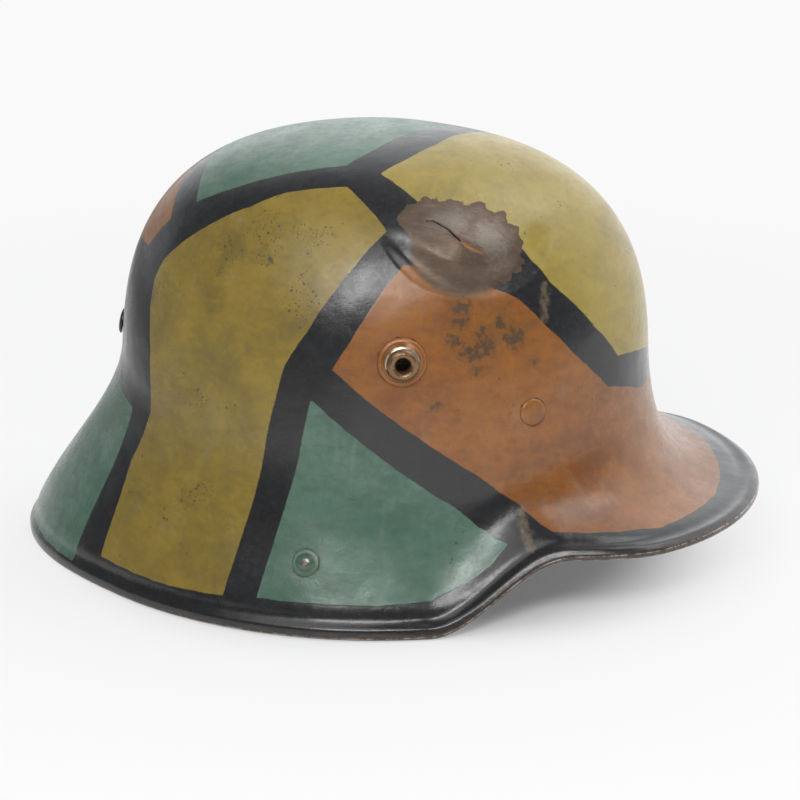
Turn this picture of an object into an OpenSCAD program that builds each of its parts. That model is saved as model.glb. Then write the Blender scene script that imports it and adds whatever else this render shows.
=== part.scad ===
// Steel helmet with a flared skirt, a leather liner and a chinstrap. Millimetres, +Z up.
// The visor points to -Y, the wearer's right is -X, and the rim of the skirt stands at z = 0.
// Angles on the shell are measured in plan from the front (0) round the side (90) to the rear (180).

/* [Crown] */
// Height of the shell above the table
shell_h = 169; // [160:1:180]
// Reach of the crown ahead of its centre, at the waist
crown_front = 107.5; // [102:0.5:112]
// Reach of the crown behind its centre, at the waist
crown_rear = 104; // [99:0.5:109]
// Half the width of the crown at the waist
crown_side = 91; // [87:0.5:94]
// Squareness of the crown seen from above the brow, 2 is round
crown_power = 2.7; // [2.4:0.05:3]
// Squareness of the crown's height, 2 is round
crown_lift = 2.65; // [2.4:0.05:3]
// Thickness of the steel sheet
sheet = 1.2; // [1:0.1:1.6]

/* [Waist] */
// Height at which the crown turns into the visor
waist_front = 85; // [80:1:90]
// Height of the waist over the wearer's temples
waist_brow = 53; // [49:1:57]
// Height of the waist at the sides
waist_side = 64; // [60:1:68]
// Height of the waist behind the ears
waist_corner = 70.5; // [66:0.5:75]
// Height of the waist at the nape
waist_rear = 84.5; // [80:0.5:89]

/* [Rim] */
// Reach of the visor's front edge
visor_reach = 153.5; // [150:0.5:158]
// Reach of the visor's rounded corners
visor_corner = 144; // [141:0.5:147]
// Reach of the rim at the step beside the visor
step_reach = 119; // [117:0.5:121]
// Half the width of the skirt at the sides
skirt_side = 114; // [112:0.5:117]
// Reach of the skirt behind the ears
skirt_corner = 123.5; // [121:0.5:126]
// Reach of the skirt at the nape
skirt_rear = 147; // [143:0.5:151]
// Height of the visor's edge above the skirt's edge
visor_lift = 27.5; // [24:0.5:31]
// Plan angle at which the step in the rim starts
step_start = 43; // [40:1:46]
// Plan angle at which the step in the rim ends
step_end = 69; // [66:1:73]
// Radius of the rolled edge
bead_r = 1.7; // [1.5:0.1:2]

/* [Struck bulge] */
// Plan angle of the bulge on the wearer's right
bulge_angle = 54; // [48:1:60]
// Height of the bulge's middle
bulge_z = 137; // [130:1:142]
// How far the struck metal stands out
bulge_out = 3.2; // [1:0.2:5]
// Radius of the struck area
bulge_r = 24; // [20:1:28]

/* [Vent lugs] */
// Plan angle of the vent lugs
lug_angle = 73; // [69:1:77]
// Height of the vent lugs
lug_z = 100; // [96:1:104]
// Radius of a vent lug's stepped base
lug_base_r = 9; // [8.6:0.1:9.6]
// Radius of a vent lug's head
lug_head_r = 6.1; // [5.8:0.1:6.6]
// Radius of the neck under a vent lug's head
lug_neck_r = 4.9; // [4.6:0.1:5.1]
// How far a vent lug stands out of the shell
lug_out = 8; // [7.5:0.5:10]
// Radius of the air hole through a vent lug
vent_r = 2.7; // [2.2:0.1:3]
// Radius of the washer inside the shell
lug_washer_r = 8; // [7.4:0.2:8.6]

/* [Liner rivets] */
// Plan angle of the two front liner rivets
front_rivet_angle = 42.5; // [40:0.5:45]
// Height of the two front liner rivets
front_rivet_z = 78; // [75:1:80]
// Plan angle of the rear liner rivet, a little to the wearer's right of the middle
rear_rivet_angle = 187; // [180:1:188]
// Height of the rear liner rivet
rear_rivet_z = 88; // [84:1:90]
// Radius of a liner rivet's head
rivet_head_r = 5.2; // [4.8:0.1:5.8]
// Height of a liner rivet's head
rivet_head_h = 1.5; // [1.2:0.1:2]
// Radius of a liner rivet's shank
rivet_r = 1.9; // [1.6:0.1:2.2]
// Radius of the washer under a liner rivet's prongs
rivet_washer_r = 5; // [4.6:0.1:5.4]

/* [Liner] */
// Height of the leather band
band_h = 24; // [22:1:26]
// Thickness of the leather band
band_t = 2.2; // [1.8:0.1:2.6]
// Least gap between the band and the shell
band_gap = 0.5; // [0.4:0.1:1]
// Plan angle that each front pad covers
pad_span = 110; // [105:5:115]
// Thickness of a pad's leather
pad_t = 1.8; // [1.4:0.1:2.2]
// Height of a pad's fingers above the band's lower edge
finger_h = 56; // [50:1:60]
// Gap between the finger tips and the shell
finger_gap = 15; // [13:1:17]
// Thickness of a cushion at its middle
cushion_t = 7.5; // [6:0.5:8.5]

/* [Chinstrap lugs] */
// Plan angle of the chinstrap lugs
strap_lug_angle = 94; // [91:1:97]
// Height of the chinstrap lugs
strap_lug_z = 26; // [24:1:28]
// Radius of the lug's post
post_r = 3; // [2.6:0.1:3.4]
// Radius of the post's mushroom head
post_head_r = 5; // [4.6:0.1:5.4]
// Length of the post from the lug's base to the back of its head
post_len = 6; // [5.5:0.5:8]
// Radius of the rivet head outside the shell
strap_rivet_head_r = 5.2; // [4.8:0.1:5.8]
// Radius of the rivet through the shell
strap_rivet_r = 2; // [1.6:0.1:2.2]

/* [Chinstrap] */
// Width of the leather strap
strap_w = 18; // [16:1:20]
// Thickness of the leather strap
strap_t = 2.2; // [1.8:0.1:2.6]
// Distance from the hinge to the bottom of the loop
strap_drop = 113; // [106:1:118]
// Radius of the loop under the chin
chin_r = 58; // [54:1:62]
// Angle at which the strap's sides lean inward
strap_lean = 35; // [33:1:38]
// Radius of the buckle's wire
wire_r = 1.3; // [1.1:0.1:1.5]
// Radius of the buckle's roller
roller_r = 2.3; // [2.1:0.1:2.7]
// Distance between the buckle's two cross bars
buckle_len = 14; // [13:0.5:16]

/* [Fits] */
// Radial clearance of a hinge
hinge_gap = 0.05; // [0.03:0.01:0.08]
// Radial clearance of a rivet in its hole
rivet_gap = 0.05; // [0.03:0.01:0.1]
// Gap between strap pieces that lie on each other
lay_gap = 0.1; // [0.1:0.05:0.2]
// Gap between a pad's leather and the cushion behind it
cushion_gap = 0.3; // [0.25:0.05:0.5]

/* [Hidden] */

// The crown's centre is set so that the whole shell is centred on y = 0.
crown_y = (visor_reach - skirt_rear) / 2;

// Steps round the shell, down its crown and flare, and round its rolled edge
round_n = 72;
crown_n = 16;
flare_n = 12;
bead_n = 6;
inner_crown_n = 12;
inner_flare_n = 9;

// Smooth curve through keyed values, flat at both ends
function slope_at(k, v, i) =
  i == 0 || i == len(k) - 1 ? 0 : (v[i + 1] - v[i - 1]) / (k[i + 1] - k[i - 1]);
function span_of(x, k, i = 0) = i >= len(k) - 2 || x < k[i + 1] ? i : span_of(x, k, i + 1);
function keyed(x, k, v) =
  let (i = span_of(x, k), w = k[i + 1] - k[i], s = min(max((x - k[i]) / w, 0), 1), s2 = s * s, s3 = s2 * s)
  v[i] * (2 * s3 - 3 * s2 + 1) + v[i + 1] * (3 * s2 - 2 * s3)
  + w * slope_at(k, v, i) * (s3 - 2 * s2 + s) + w * slope_at(k, v, i + 1) * (s3 - s2);
function fold(th) = th > 180 ? 360 - th : th < 0 ? -th : th;

// Plan radius at the waist, and the waist's own height and draft
function waist_r(th) = let (a = th < 90 ? crown_front : crown_rear)
  1 / sqrt(pow(sin(th) / crown_side, 2) + pow(cos(th) / a, 2));
function waist_z(th) =
  keyed(th, [0, 50, 90, 135, 180], [waist_front, waist_brow, waist_side, waist_corner, waist_rear]);
function draft(th) = keyed(th, [0, 90, 180], [0.05, 0.07, 0.07]);

// The rim: reach, height of its underside, and the angle at which the sheet runs into the rolled edge
function rim_r(th) = keyed(th, [0, 30, 50, 90, 135, 180],
  [visor_reach, visor_corner, step_reach, skirt_side, skirt_corner, skirt_rear]);
function rim_z(th) = let (s = min(max((th - step_start) / (step_end - step_start), 0), 1))
  visor_lift * (1 - s * s * (3 - 2 * s));
function rim_dip(th) = keyed(th, [0, 50, 90, 180], [6, 39, 67, 71]);
function flare_pull(th) = keyed(th, [0, 50, 180], [0.74, 0.42, 0.33]);

// Outer profile at a plan angle: t runs 0 to 1 down the crown and 1 to 2 down the flare. Gives [r, z].
function crown_point(th, t) = let (w = waist_z(th), z = w + (shell_h - w) * pow(cos(90 * t), 2 / crown_lift))
  [pow(sin(90 * t), 2 / crown_power) * (waist_r(th) - draft(th) * (z - w)), z];
function flare_keys(th) =
  let (d = draft(th), q = norm([d, 1]), dip = rim_dip(th),
       p0 = [waist_r(th), waist_z(th)],
       p3 = [rim_r(th) - bead_r + bead_r * sin(dip), rim_z(th) + bead_r + bead_r * cos(dip)],
       reach = norm(p3 - p0))
  [p0, p0 + flare_pull(th) * reach / q * [d, -1], p3 - 0.33 * reach * [cos(dip), -sin(dip)], p3];
function flare_point(th, u) = let (p = flare_keys(th), v = 1 - u)
  v * v * v * p[0] + 3 * v * v * u * p[1] + 3 * v * u * u * p[2] + u * u * u * p[3];
function outer(th, t) = t <= 1 ? crown_point(th, t) : flare_point(th, t - 1);
function profile_dir(th, t) = let (a = outer(th, max(t - 0.004, 0)), b = outer(th, min(t + 0.004, 2)))
  (b - a) / norm(b - a);
function inner(th, t) = let (d = profile_dir(th, t)) t == 0 ? [0, shell_h - sheet]
  : outer(th, t) - sheet * [-d[1], d[0]];

function in_space(th, p) = [p[0] * sin(th), crown_y - p[0] * cos(th), p[1]];

// t at which the outer profile passes a height
function t_at(th, z, a = 0, b = 2, n = 22) =
  n == 0 ? (a + b) / 2 : let (m = (a + b) / 2) outer(th, m)[1] > z ? t_at(th, z, m, b, n - 1) : t_at(th, z, a, m, n - 1);
function wall_r(th, z) = let (f = fold(th)) outer(f, t_at(f, z))[0];
function wall_in_r(th, z) = let (f = fold(th), t = t_at(f, z), d = profile_dir(f, t)) outer(f, t)[0] + sheet / d[1];
function skin(th, z) = in_space(th, [wall_r(th, z), z]);
function skin_normal(th, z) =
  let (a = skin(th + 1, z) - skin(th - 1, z), b = skin(th, z - 1) - skin(th, z + 1), c = cross(b, a)) c / norm(c);

// Moves what follows so that +Z stands out of the shell at this place
module on_skin(th, z) {
  n = skin_normal(th, z);
  translate(skin(th, z)) rotate([0, acos(n[2]), atan2(n[1], n[0])]) children();
}
// Makes a right-hand piece from a left-hand one
module hand(side) {
  if (side > 0) children();
  else mirror([1, 0, 0]) children();
}
// Depth of the flat that seats a disc on the curved skin
function seat(r) = r * r / 170 + 0.04;

// The struck bulge, the same on the outer and the inner face, with a shallow trough below it
bulge_at = skin(-bulge_angle, bulge_z);
bulge_dir = skin_normal(-bulge_angle, bulge_z);
function struck(p) =
  let (v = p - bulge_at, off = v - (v * bulge_dir) * bulge_dir, q = norm(off) / bulge_r,
       dome = q < 1 ? pow(1 - q * q, 2) : 0,
       low = max(-off[2], 0) / bulge_r,
       trough = q > 0.5 && q < 1.4 ? pow(1 - pow((q - 0.95) / 0.45, 2), 2) * low : 0)
  norm(v) > 2 * bulge_r ? p : p + (bulge_out * dome - 0.25 * bulge_out * trough) * bulge_dir;

// Rolled edge: from the outer face, round below, to the inner face
function bead_point(th, k) =
  let (dip = rim_dip(th), c = [rim_r(th) - bead_r, rim_z(th) + bead_r], a = 90 - dip - 270 * k / bead_n)
  c + bead_r * [cos(a), sin(a)];

shell_rows = let (f = [for (i = [0:round_n - 1]) fold(i * 360 / round_n)], e = [for (i = [0:round_n - 1]) i * 360 / round_n])
  concat(
    [for (j = [1:crown_n]) [for (i = [0:round_n - 1]) struck(in_space(e[i], outer(f[i], j / crown_n)))]],
    [for (j = [1:flare_n]) [for (i = [0:round_n - 1]) in_space(e[i], outer(f[i], 1 + j / flare_n))]],
    [for (j = [1:bead_n]) [for (i = [0:round_n - 1]) in_space(e[i], bead_point(f[i], j))]],
    [for (j = [inner_flare_n:-1:1]) [for (i = [0:round_n - 1])
      let (q = flare_keys(f[i]), last = 1 - 1.5 * bead_r / norm(q[3] - q[0]))
      in_space(e[i], inner(f[i], 1 + last * j / inner_flare_n))]],
    [for (j = [inner_crown_n:-1:1]) [for (i = [0:round_n - 1])
      struck(in_space(e[i], inner(f[i], j / inner_crown_n)))]]);
shell_points = concat([[0, crown_y, shell_h]], [for (r = shell_rows) for (p = r) p], [[0, crown_y, shell_h - sheet]]);
row_count = len(shell_rows);
function at_ring(j, i) = 1 + j * round_n + i % round_n;
shell_faces = concat(
  [for (i = [0:round_n - 1]) [0, at_ring(0, i + 1), at_ring(0, i)]],
  [for (j = [0:row_count - 2]) for (i = [0:round_n - 1]) [at_ring(j, i), at_ring(j, i + 1), at_ring(j + 1, i + 1)]],
  [for (j = [0:row_count - 2]) for (i = [0:round_n - 1]) [at_ring(j, i), at_ring(j + 1, i + 1), at_ring(j + 1, i)]],
  [for (i = [0:round_n - 1]) [len(shell_points) - 1, at_ring(row_count - 1, i), at_ring(row_count - 1, i + 1)]]);

lug_hole_r = vent_r + 1.5;
lug_washer_t = 1;

module shell_cuts() {
  for (side = [1, -1]) {
    hand(side) on_skin(lug_angle, lug_z) disc_seats(lug_base_r, lug_hole_r + rivet_gap, lug_washer_r);
    hand(side) on_skin(front_rivet_angle, front_rivet_z) disc_seats(rivet_head_r, rivet_r + rivet_gap, 0);
    hand(side) on_skin(strap_lug_angle, strap_lug_z)
      disc_seats(strap_rivet_head_r, strap_rivet_r + rivet_gap, lug_foot_r);
  }
  on_skin(rear_rivet_angle, rear_rivet_z) disc_seats(rivet_head_r, rivet_r + rivet_gap, 0);
}
// A flat outside, a round hole, and a flat inside
module disc_seats(out_r, hole_r, in_r) {
  translate([0, 0, -seat(out_r)]) cylinder(r = out_r + 0.05, h = 3, $fn = 64);
  translate([0, 0, -5]) cylinder(r = hole_r, h = 8, $fn = 48);
  if (in_r > 0) translate([0, 0, -sheet - 3]) cylinder(r = in_r + 0.05, h = 3, $fn = 64);
}

module shell() {
  color([0.2, 0.2, 0.21]) difference() {
    polyhedron(shell_points, shell_faces, 8);
    shell_cuts();
  }
}

// Vent lug: a stepped base outside, a necked head, a bore for air, and a peened end inside
module vent_lug_shape() {
  s = -seat(lug_base_r);
  inside = -sheet - lug_washer_t;
  rotate_extrude($fn = 64) polygon([
    [vent_r, inside - 0.9], [lug_hole_r + 0.9, inside - 0.9], [lug_hole_r + 1.3, inside - 0.5],
    [lug_hole_r + 1.3, inside], [lug_hole_r, inside], [lug_hole_r, s],
    [lug_base_r, s], [lug_base_r, 0.5], [lug_base_r - 0.5, 1], [lug_base_r - 1.4, 1.1],
    [lug_base_r - 1.5, 1.9], [lug_base_r - 2, 2.4], [lug_head_r, 2.7], [lug_neck_r, 3.2],
    [lug_neck_r, lug_out - 3.4], [lug_head_r - 0.3, lug_out - 2.9], [lug_head_r, lug_out - 2.6],
    [lug_head_r, lug_out - 0.7], [lug_head_r - 0.3, lug_out - 0.2], [lug_head_r - 0.9, lug_out],
    [vent_r + 0.8, lug_out], [vent_r + 0.2, lug_out - 0.3], [vent_r, lug_out - 0.9]]);
}
module vent_lug(side) {
  color([0.5, 0.4, 0.3]) hand(side) on_skin(lug_angle, lug_z) vent_lug_shape();
}
module vent_washer(side) {
  color([0.35, 0.34, 0.33]) hand(side) on_skin(lug_angle, lug_z) translate([0, 0, -sheet - lug_washer_t])
    difference() {
      cylinder(r = lug_washer_r, h = lug_washer_t, $fn = 64);
      translate([0, 0, -1]) cylinder(r = lug_hole_r + rivet_gap, h = lug_washer_t + 2, $fn = 48);
    }
}
module vent_lug_left() { vent_lug(1); }
module vent_lug_right() { vent_lug(-1); }
module vent_washer_left() { vent_washer(1); }
module vent_washer_right() { vent_washer(-1); }

// Leather band: a straight-sided ring that follows the wall inside the shell and passes all three rivets
function band_mid(th) =
  let (s = (fold(th) - front_rivet_angle) / (fold(rear_rivet_angle) - front_rivet_angle))
  front_rivet_z + (rear_rivet_z - front_rivet_z) * (1 - cos(min(max(s, 0), 1) * 180)) / 2;
function band_top_r(th) = wall_in_r(th, band_mid(th) + band_h / 2) - band_gap;
function band_low_r(th) = let (m = band_mid(th), h = band_h / 2)
  min(wall_in_r(th, m - h), 2 * wall_in_r(th, m) - wall_in_r(th, m + h)) - band_gap;
function band_out(th, z) = let (s = (z - band_mid(th)) / band_h + 0.5)
  band_low_r(th) + (band_top_r(th) - band_low_r(th)) * s;
function band_in(th, z) = band_out(th, z) - band_t;

liner_step = 2.5;
module ring_solid(rows) {
  n = len(rows);
  m = len(rows[0]);
  polyhedron([for (r = rows) for (p = r) p],
    concat(
      [for (i = [0:n - 1]) for (j = [0:m - 1]) [i * m + j, i * m + (j + 1) % m, ((i + 1) % n) * m + j]],
      [for (i = [0:n - 1]) for (j = [0:m - 1])
        [i * m + (j + 1) % m, ((i + 1) % n) * m + (j + 1) % m, ((i + 1) % n) * m + j]]), 4);
}
// Distance from the outer skin at a rivet to the band's inner face, along the rivet
function band_depth(th) = let (z = band_mid(th), n = skin_normal(th, z))
  (wall_r(th, z) - band_in(th, z)) * (n[0] * sin(th) - n[1] * cos(th)) - 0.12;
module band_cut(th) {
  on_skin(th, band_mid(th)) {
    translate([0, 0, -12]) cylinder(r = rivet_r + rivet_gap, h = 12, $fn = 48);
    translate([0, 0, -band_depth(th) - 3]) cylinder(r = rivet_washer_r + 0.05, h = 3, $fn = 64);
  }
}
module liner_band() {
  color([0.36, 0.24, 0.14]) difference() {
    ring_solid([for (th = [0:liner_step:359]) let (m = band_mid(th), a = m - band_h / 2, b = m + band_h / 2)
      [in_space(th, [band_out(th, a), a]), in_space(th, [band_out(th, b), b]),
       in_space(th, [band_in(th, b), b]), in_space(th, [band_in(th, a), a])]]);
    band_cut(front_rivet_angle);
    hand(-1) band_cut(front_rivet_angle);
    band_cut(rear_rivet_angle);
  }
}

// Split rivet: a low head outside and two prongs bent apart over a washer inside
liner_washer_t = 0.8;
module split_rivet(th) {
  back = band_depth(th) + liner_washer_t;
  on_skin(th, band_mid(th)) {
    rotate_extrude($fn = 64) polygon([[0, -seat(rivet_head_r)], [rivet_head_r, -seat(rivet_head_r)],
      [rivet_head_r, 0.35], [rivet_head_r * 0.9, rivet_head_h * 0.6], [rivet_head_r * 0.6, rivet_head_h * 0.9],
      [rivet_head_r * 0.25, rivet_head_h], [0, rivet_head_h]]);
    translate([0, 0, -back - 0.9]) cylinder(r = rivet_r, h = back + 0.9, $fn = 48);
    for (a = [90, -90]) rotate([0, 0, a]) {
      translate([0, -1.5, -back - 0.9]) cube([6, 3, 0.9]);
      translate([6, 0, -back - 0.9]) cylinder(r = 1.5, h = 0.9, $fn = 32);
    }
  }
}
module liner_washer(th) {
  on_skin(th, band_mid(th)) translate([0, 0, -band_depth(th) - liner_washer_t]) difference() {
    cylinder(r = rivet_washer_r, h = liner_washer_t, $fn = 64);
    translate([0, 0, -1]) cylinder(r = rivet_r + rivet_gap, h = 3, $fn = 48);
  }
}
module liner_rivet_front_left() { color([0.2, 0.19, 0.18]) split_rivet(front_rivet_angle); }
module liner_rivet_front_right() { color([0.45, 0.25, 0.14]) hand(-1) split_rivet(front_rivet_angle); }
module liner_rivet_rear() { color([0.2, 0.2, 0.21]) split_rivet(rear_rivet_angle); }
module liner_washer_front_left() { color([0.4, 0.39, 0.37]) liner_washer(front_rivet_angle); }
module liner_washer_front_right() { color([0.4, 0.39, 0.37]) hand(-1) liner_washer(front_rivet_angle); }
module liner_washer_rear() { color([0.4, 0.39, 0.37]) liner_washer(rear_rivet_angle); }

// Pad: one leather piece with two fingers, fixed low on the band and leaning in round the head
function band_low(th) = band_mid(th) - band_h / 2;
finger_notch = 6;
hem_h = 4;
function hem_top(th) = band_low(th) + hem_h;
function finger_top(th, mid, span) =
  let (a = abs(th - mid), half = (span / 2 - finger_notch) / 2, x = (a - finger_notch - half) / half,
       low = hem_top(th) + 2)
  abs(x) >= 1 ? low : low + (band_low(th) + finger_h - low) * pow(1 - pow(x, 4), 0.5);
function pad_back(th, z) =
  let (a = hem_top(th), b = band_low(th) + finger_h)
  z <= a ? band_in(th, z) - lay_gap
  : let (s = (z - a) / (b - a), g0 = wall_in_r(th, a) - band_in(th, a) + lay_gap)
    wall_in_r(th, z) - g0 - (finger_gap - g0) * pow(s, 0.6);
pad_rows = 8;
function pad_z(th, mid, span, k) = let (lo = band_low(th) + 1, a = hem_top(th), hi = finger_top(th, mid, span))
  k == 0 ? lo : a + (hi - a) * pow((k - 1) / (pad_rows - 1), 1.3);
module pad(mid, span) {
  n = round(span / liner_step);
  back = [for (i = [0:n]) let (th = mid + span * (i / n - 0.5))
    [for (k = [0:pad_rows]) let (z = pad_z(th, mid, span, k)) in_space(th, [pad_back(th, z), z])]];
  face = [for (i = [0:n]) let (th = mid + span * (i / n - 0.5))
    [for (k = [0:pad_rows]) let (z = pad_z(th, mid, span, k)) in_space(th, [pad_back(th, z) - pad_t, z])]];
  sheet_solid(back, face);
}
// Closed solid between two grids of points
module sheet_solid(a, b) {
  n = len(a);
  m = len(a[0]);
  o = n * m;
  polyhedron(concat([for (r = a) for (p = r) p], [for (r = b) for (p = r) p]), concat(
    [for (i = [0:n - 2]) for (k = [0:m - 2]) [i * m + k, (i + 1) * m + k, (i + 1) * m + k + 1]],
    [for (i = [0:n - 2]) for (k = [0:m - 2]) [i * m + k, (i + 1) * m + k + 1, i * m + k + 1]],
    [for (i = [0:n - 2]) for (k = [0:m - 2]) [o + i * m + k, o + (i + 1) * m + k + 1, o + (i + 1) * m + k]],
    [for (i = [0:n - 2]) for (k = [0:m - 2]) [o + i * m + k, o + i * m + k + 1, o + (i + 1) * m + k + 1]],
    [for (i = [0:n - 2]) [i * m, o + i * m, o + (i + 1) * m]],
    [for (i = [0:n - 2]) [i * m, o + (i + 1) * m, (i + 1) * m]],
    [for (i = [0:n - 2]) [i * m + m - 1, o + (i + 1) * m + m - 1, o + i * m + m - 1]],
    [for (i = [0:n - 2]) [i * m + m - 1, (i + 1) * m + m - 1, o + (i + 1) * m + m - 1]],
    [for (k = [0:m - 2]) [k, o + k + 1, o + k]],
    [for (k = [0:m - 2]) [k, k + 1, o + k + 1]],
    [for (k = [0:m - 2]) [(n - 1) * m + k, o + (n - 1) * m + k, o + (n - 1) * m + k + 1]],
    [for (k = [0:m - 2]) [(n - 1) * m + k, o + (n - 1) * m + k + 1, (n - 1) * m + k + 1]]), 4);
}
// The front pads meet near the brow, and the rear pad has what they leave, less a part at each end
front_pad_mid = pad_span / 2 + liner_step;
pad_part = 12.5;
rear_pad_span = 360 - 2 * (pad_span + liner_step + pad_part);
module pad_front_left() { color([0.55, 0.38, 0.22]) pad(front_pad_mid, pad_span); }
module pad_front_right() { color([0.55, 0.38, 0.22]) hand(-1) pad(front_pad_mid, pad_span); }
module pad_rear() { color([0.55, 0.38, 0.22]) pad(180, rear_pad_span); }

// Cushion: a stuffed pillow behind a pad, with a crown and drawn-in sides
cushion_n = 18;
cushion_m = 8;
module cushion(mid, span) {
  half = span / 2 - 8;
  rows = [for (i = [0:cushion_n]) let (u = 2 * i / cushion_n - 1) [for (k = [0:cushion_m])
    let (v = 2 * k / cushion_m - 1, th = mid + half * u * (1 - 0.05 * (1 - v * v)),
         low = band_mid(th) + band_h / 2 - 2, high = band_low(th) + finger_h - 7,
         z = (low + high) / 2 + (high - low) / 2 * v * (1 - 0.08 * (1 - u * u)))
    [th, z, sqrt(max(1 - pow(u, 6), 0)) * sqrt(max(1 - pow(v, 4), 0))]]];
  sheet_solid(
    [for (r = rows) [for (q = r) in_space(q[0], [pad_back(q[0], q[1]) + cushion_gap + 0.6 + (cushion_t - 0.6) * q[2], q[1]])]],
    [for (r = rows) [for (q = r) in_space(q[0], [pad_back(q[0], q[1]) + cushion_gap, q[1]])]]);
}
module cushion_front_left() { color([0.7, 0.65, 0.55]) cushion(front_pad_mid, pad_span); }
module cushion_front_right() { color([0.7, 0.65, 0.55]) hand(-1) cushion(front_pad_mid, pad_span); }
module cushion_rear() { color([0.7, 0.65, 0.55]) cushion(180, rear_pad_span); }

// Chinstrap lug: a riveted foot inside the skirt and a level post with a mushroom head
lug_foot_r = 7;
lug_foot_t = 1.4;
lug_spot = skin(strap_lug_angle, strap_lug_z);
lug_n = skin_normal(strap_lug_angle, strap_lug_z);
hinge_at = lug_spot - lug_n * (sheet + lug_foot_t);
post_from = hinge_at[0] - 3.5;
post_end = post_from - post_len;
module strap_lug(side) {
  color([0.3, 0.29, 0.27]) hand(side) difference() {
    union() {
      on_skin(strap_lug_angle, strap_lug_z) translate([0, 0, -sheet - lug_foot_t])
        cylinder(r = lug_foot_r, h = lug_foot_t, $fn = 64);
      hull() {
        on_skin(strap_lug_angle, strap_lug_z) translate([0, 0, -sheet - lug_foot_t])
          cylinder(r = post_r + 1.6, h = 0.4, $fn = 32);
        translate([post_from, hinge_at[1], hinge_at[2]]) rotate([0, 90, 0]) cylinder(r = post_r + 0.8, h = 0.4, $fn = 32);
      }
      translate([post_end - 0.5, hinge_at[1], hinge_at[2]]) rotate([0, 90, 0])
        cylinder(r = post_r, h = post_len + 1, $fn = 48);
      translate([post_end, hinge_at[1], hinge_at[2]]) rotate([0, -90, 0]) rotate_extrude($fn = 64)
        polygon([[0, 0], [post_head_r, 0], [post_head_r, 0.7], [post_head_r * 0.86, 1.4],
          [post_head_r * 0.5, 2], [0, 2.2]]);
    }
    on_skin(strap_lug_angle, strap_lug_z) translate([0, 0, -sheet - lug_foot_t - 0.8])
      cylinder(r = strap_rivet_r + rivet_gap, h = 6, $fn = 48);
  }
}
// Rivet of the chinstrap lug: a ringed washer-like head with a small dome, and its shank
module strap_rivet(side) {
  color([0.42, 0.45, 0.4]) hand(side) on_skin(strap_lug_angle, strap_lug_z) {
    rotate_extrude($fn = 64) polygon([[0, -seat(strap_rivet_head_r)],
      [strap_rivet_head_r, -seat(strap_rivet_head_r)], [strap_rivet_head_r, 0.35],
      [strap_rivet_head_r - 0.5, 0.6], [strap_rivet_head_r - 1.4, 0.6], [strap_rivet_head_r - 1.8, 0.8],
      [strap_rivet_head_r - 2.4, 1.5], [strap_rivet_head_r - 3.6, 2.1], [0, 2.3]]);
    translate([0, 0, -sheet - lug_foot_t - 0.7]) cylinder(r = strap_rivet_r, h = sheet + lug_foot_t + 0.7, $fn = 48);
  }
}
module strap_lug_left() { strap_lug(1); }
module strap_lug_right() { strap_lug(-1); }
module strap_rivet_left() { strap_rivet(1); }
module strap_rivet_right() { strap_rivet(-1); }

// The chinstrap lies on its edge inside the skirt. Its own frame has the hinge on X and the loop along +Y.
strap_rest = asin((hinge_at[2] - strap_w / 2 - 0.25) / (strap_drop + strap_t / 2));
module strap_frame() { translate([0, hinge_at[1], hinge_at[2]]) rotate([-strap_rest, 0, 0]) children(); }

plate_t = 1.2;
plate_x = (post_from + post_end) / 2;
strap_x = plate_x - plate_t / 2 - strap_t / 2;
strap_start = 8;
end_rivet_y = 12.5;
lean_from = [chin_r * cos(strap_lean), strap_drop - chin_r + chin_r * sin(strap_lean)];
lean_len = (strap_x - lean_from[0]) / sin(strap_lean);
bend_y = lean_from[1] - lean_len * cos(strap_lean);
bend_r = 20;
bend_cut = bend_r * tan(strap_lean / 2);

// Places what follows on the leaning left side: +X along the strap to the chin, +Y outward
module on_lean(along) {
  translate([strap_x - along * sin(strap_lean), bend_y + along * cos(strap_lean), 0])
    rotate([0, 0, 90 + strap_lean]) mirror([0, 1, 0]) children();
}
function lean_point(a, w) = [strap_x - a * sin(strap_lean) + w * cos(strap_lean),
  bend_y + a * cos(strap_lean) + w * sin(strap_lean)];

// The ribbon between a path's two sides
function path_dir(p, i) = let (a = p[max(i - 1, 0)], b = p[min(i + 1, len(p) - 1)]) (b - a) / norm(b - a);
module ribbon(p, w, t) {
  linear_extrude(height = w, center = true) polygon(concat(
    [for (i = [0:len(p) - 1]) let (d = path_dir(p, i)) p[i] + t / 2 * [-d[1], d[0]]],
    [for (i = [len(p) - 1:-1:0]) let (d = path_dir(p, i)) p[i] - t / 2 * [-d[1], d[0]]]));
}
// Distance along the lean to the buckle's heel bar, and from there back to the tail, fold and keeper
heel_at = 34;
tail_len = 28;
fold_len = 24;
keeper_at = -17;
bend_path = [for (a = [0:5:strap_lean]) [strap_x - bend_r + bend_r * cos(a), bend_y - bend_cut + bend_r * sin(a)]];
short_path = concat([[strap_x, strap_start]], bend_path, [lean_point(heel_at, 0)]);
function mirrored(p) = [for (i = [len(p) - 1:-1:0]) [-p[i][0], p[i][1]]];

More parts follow.
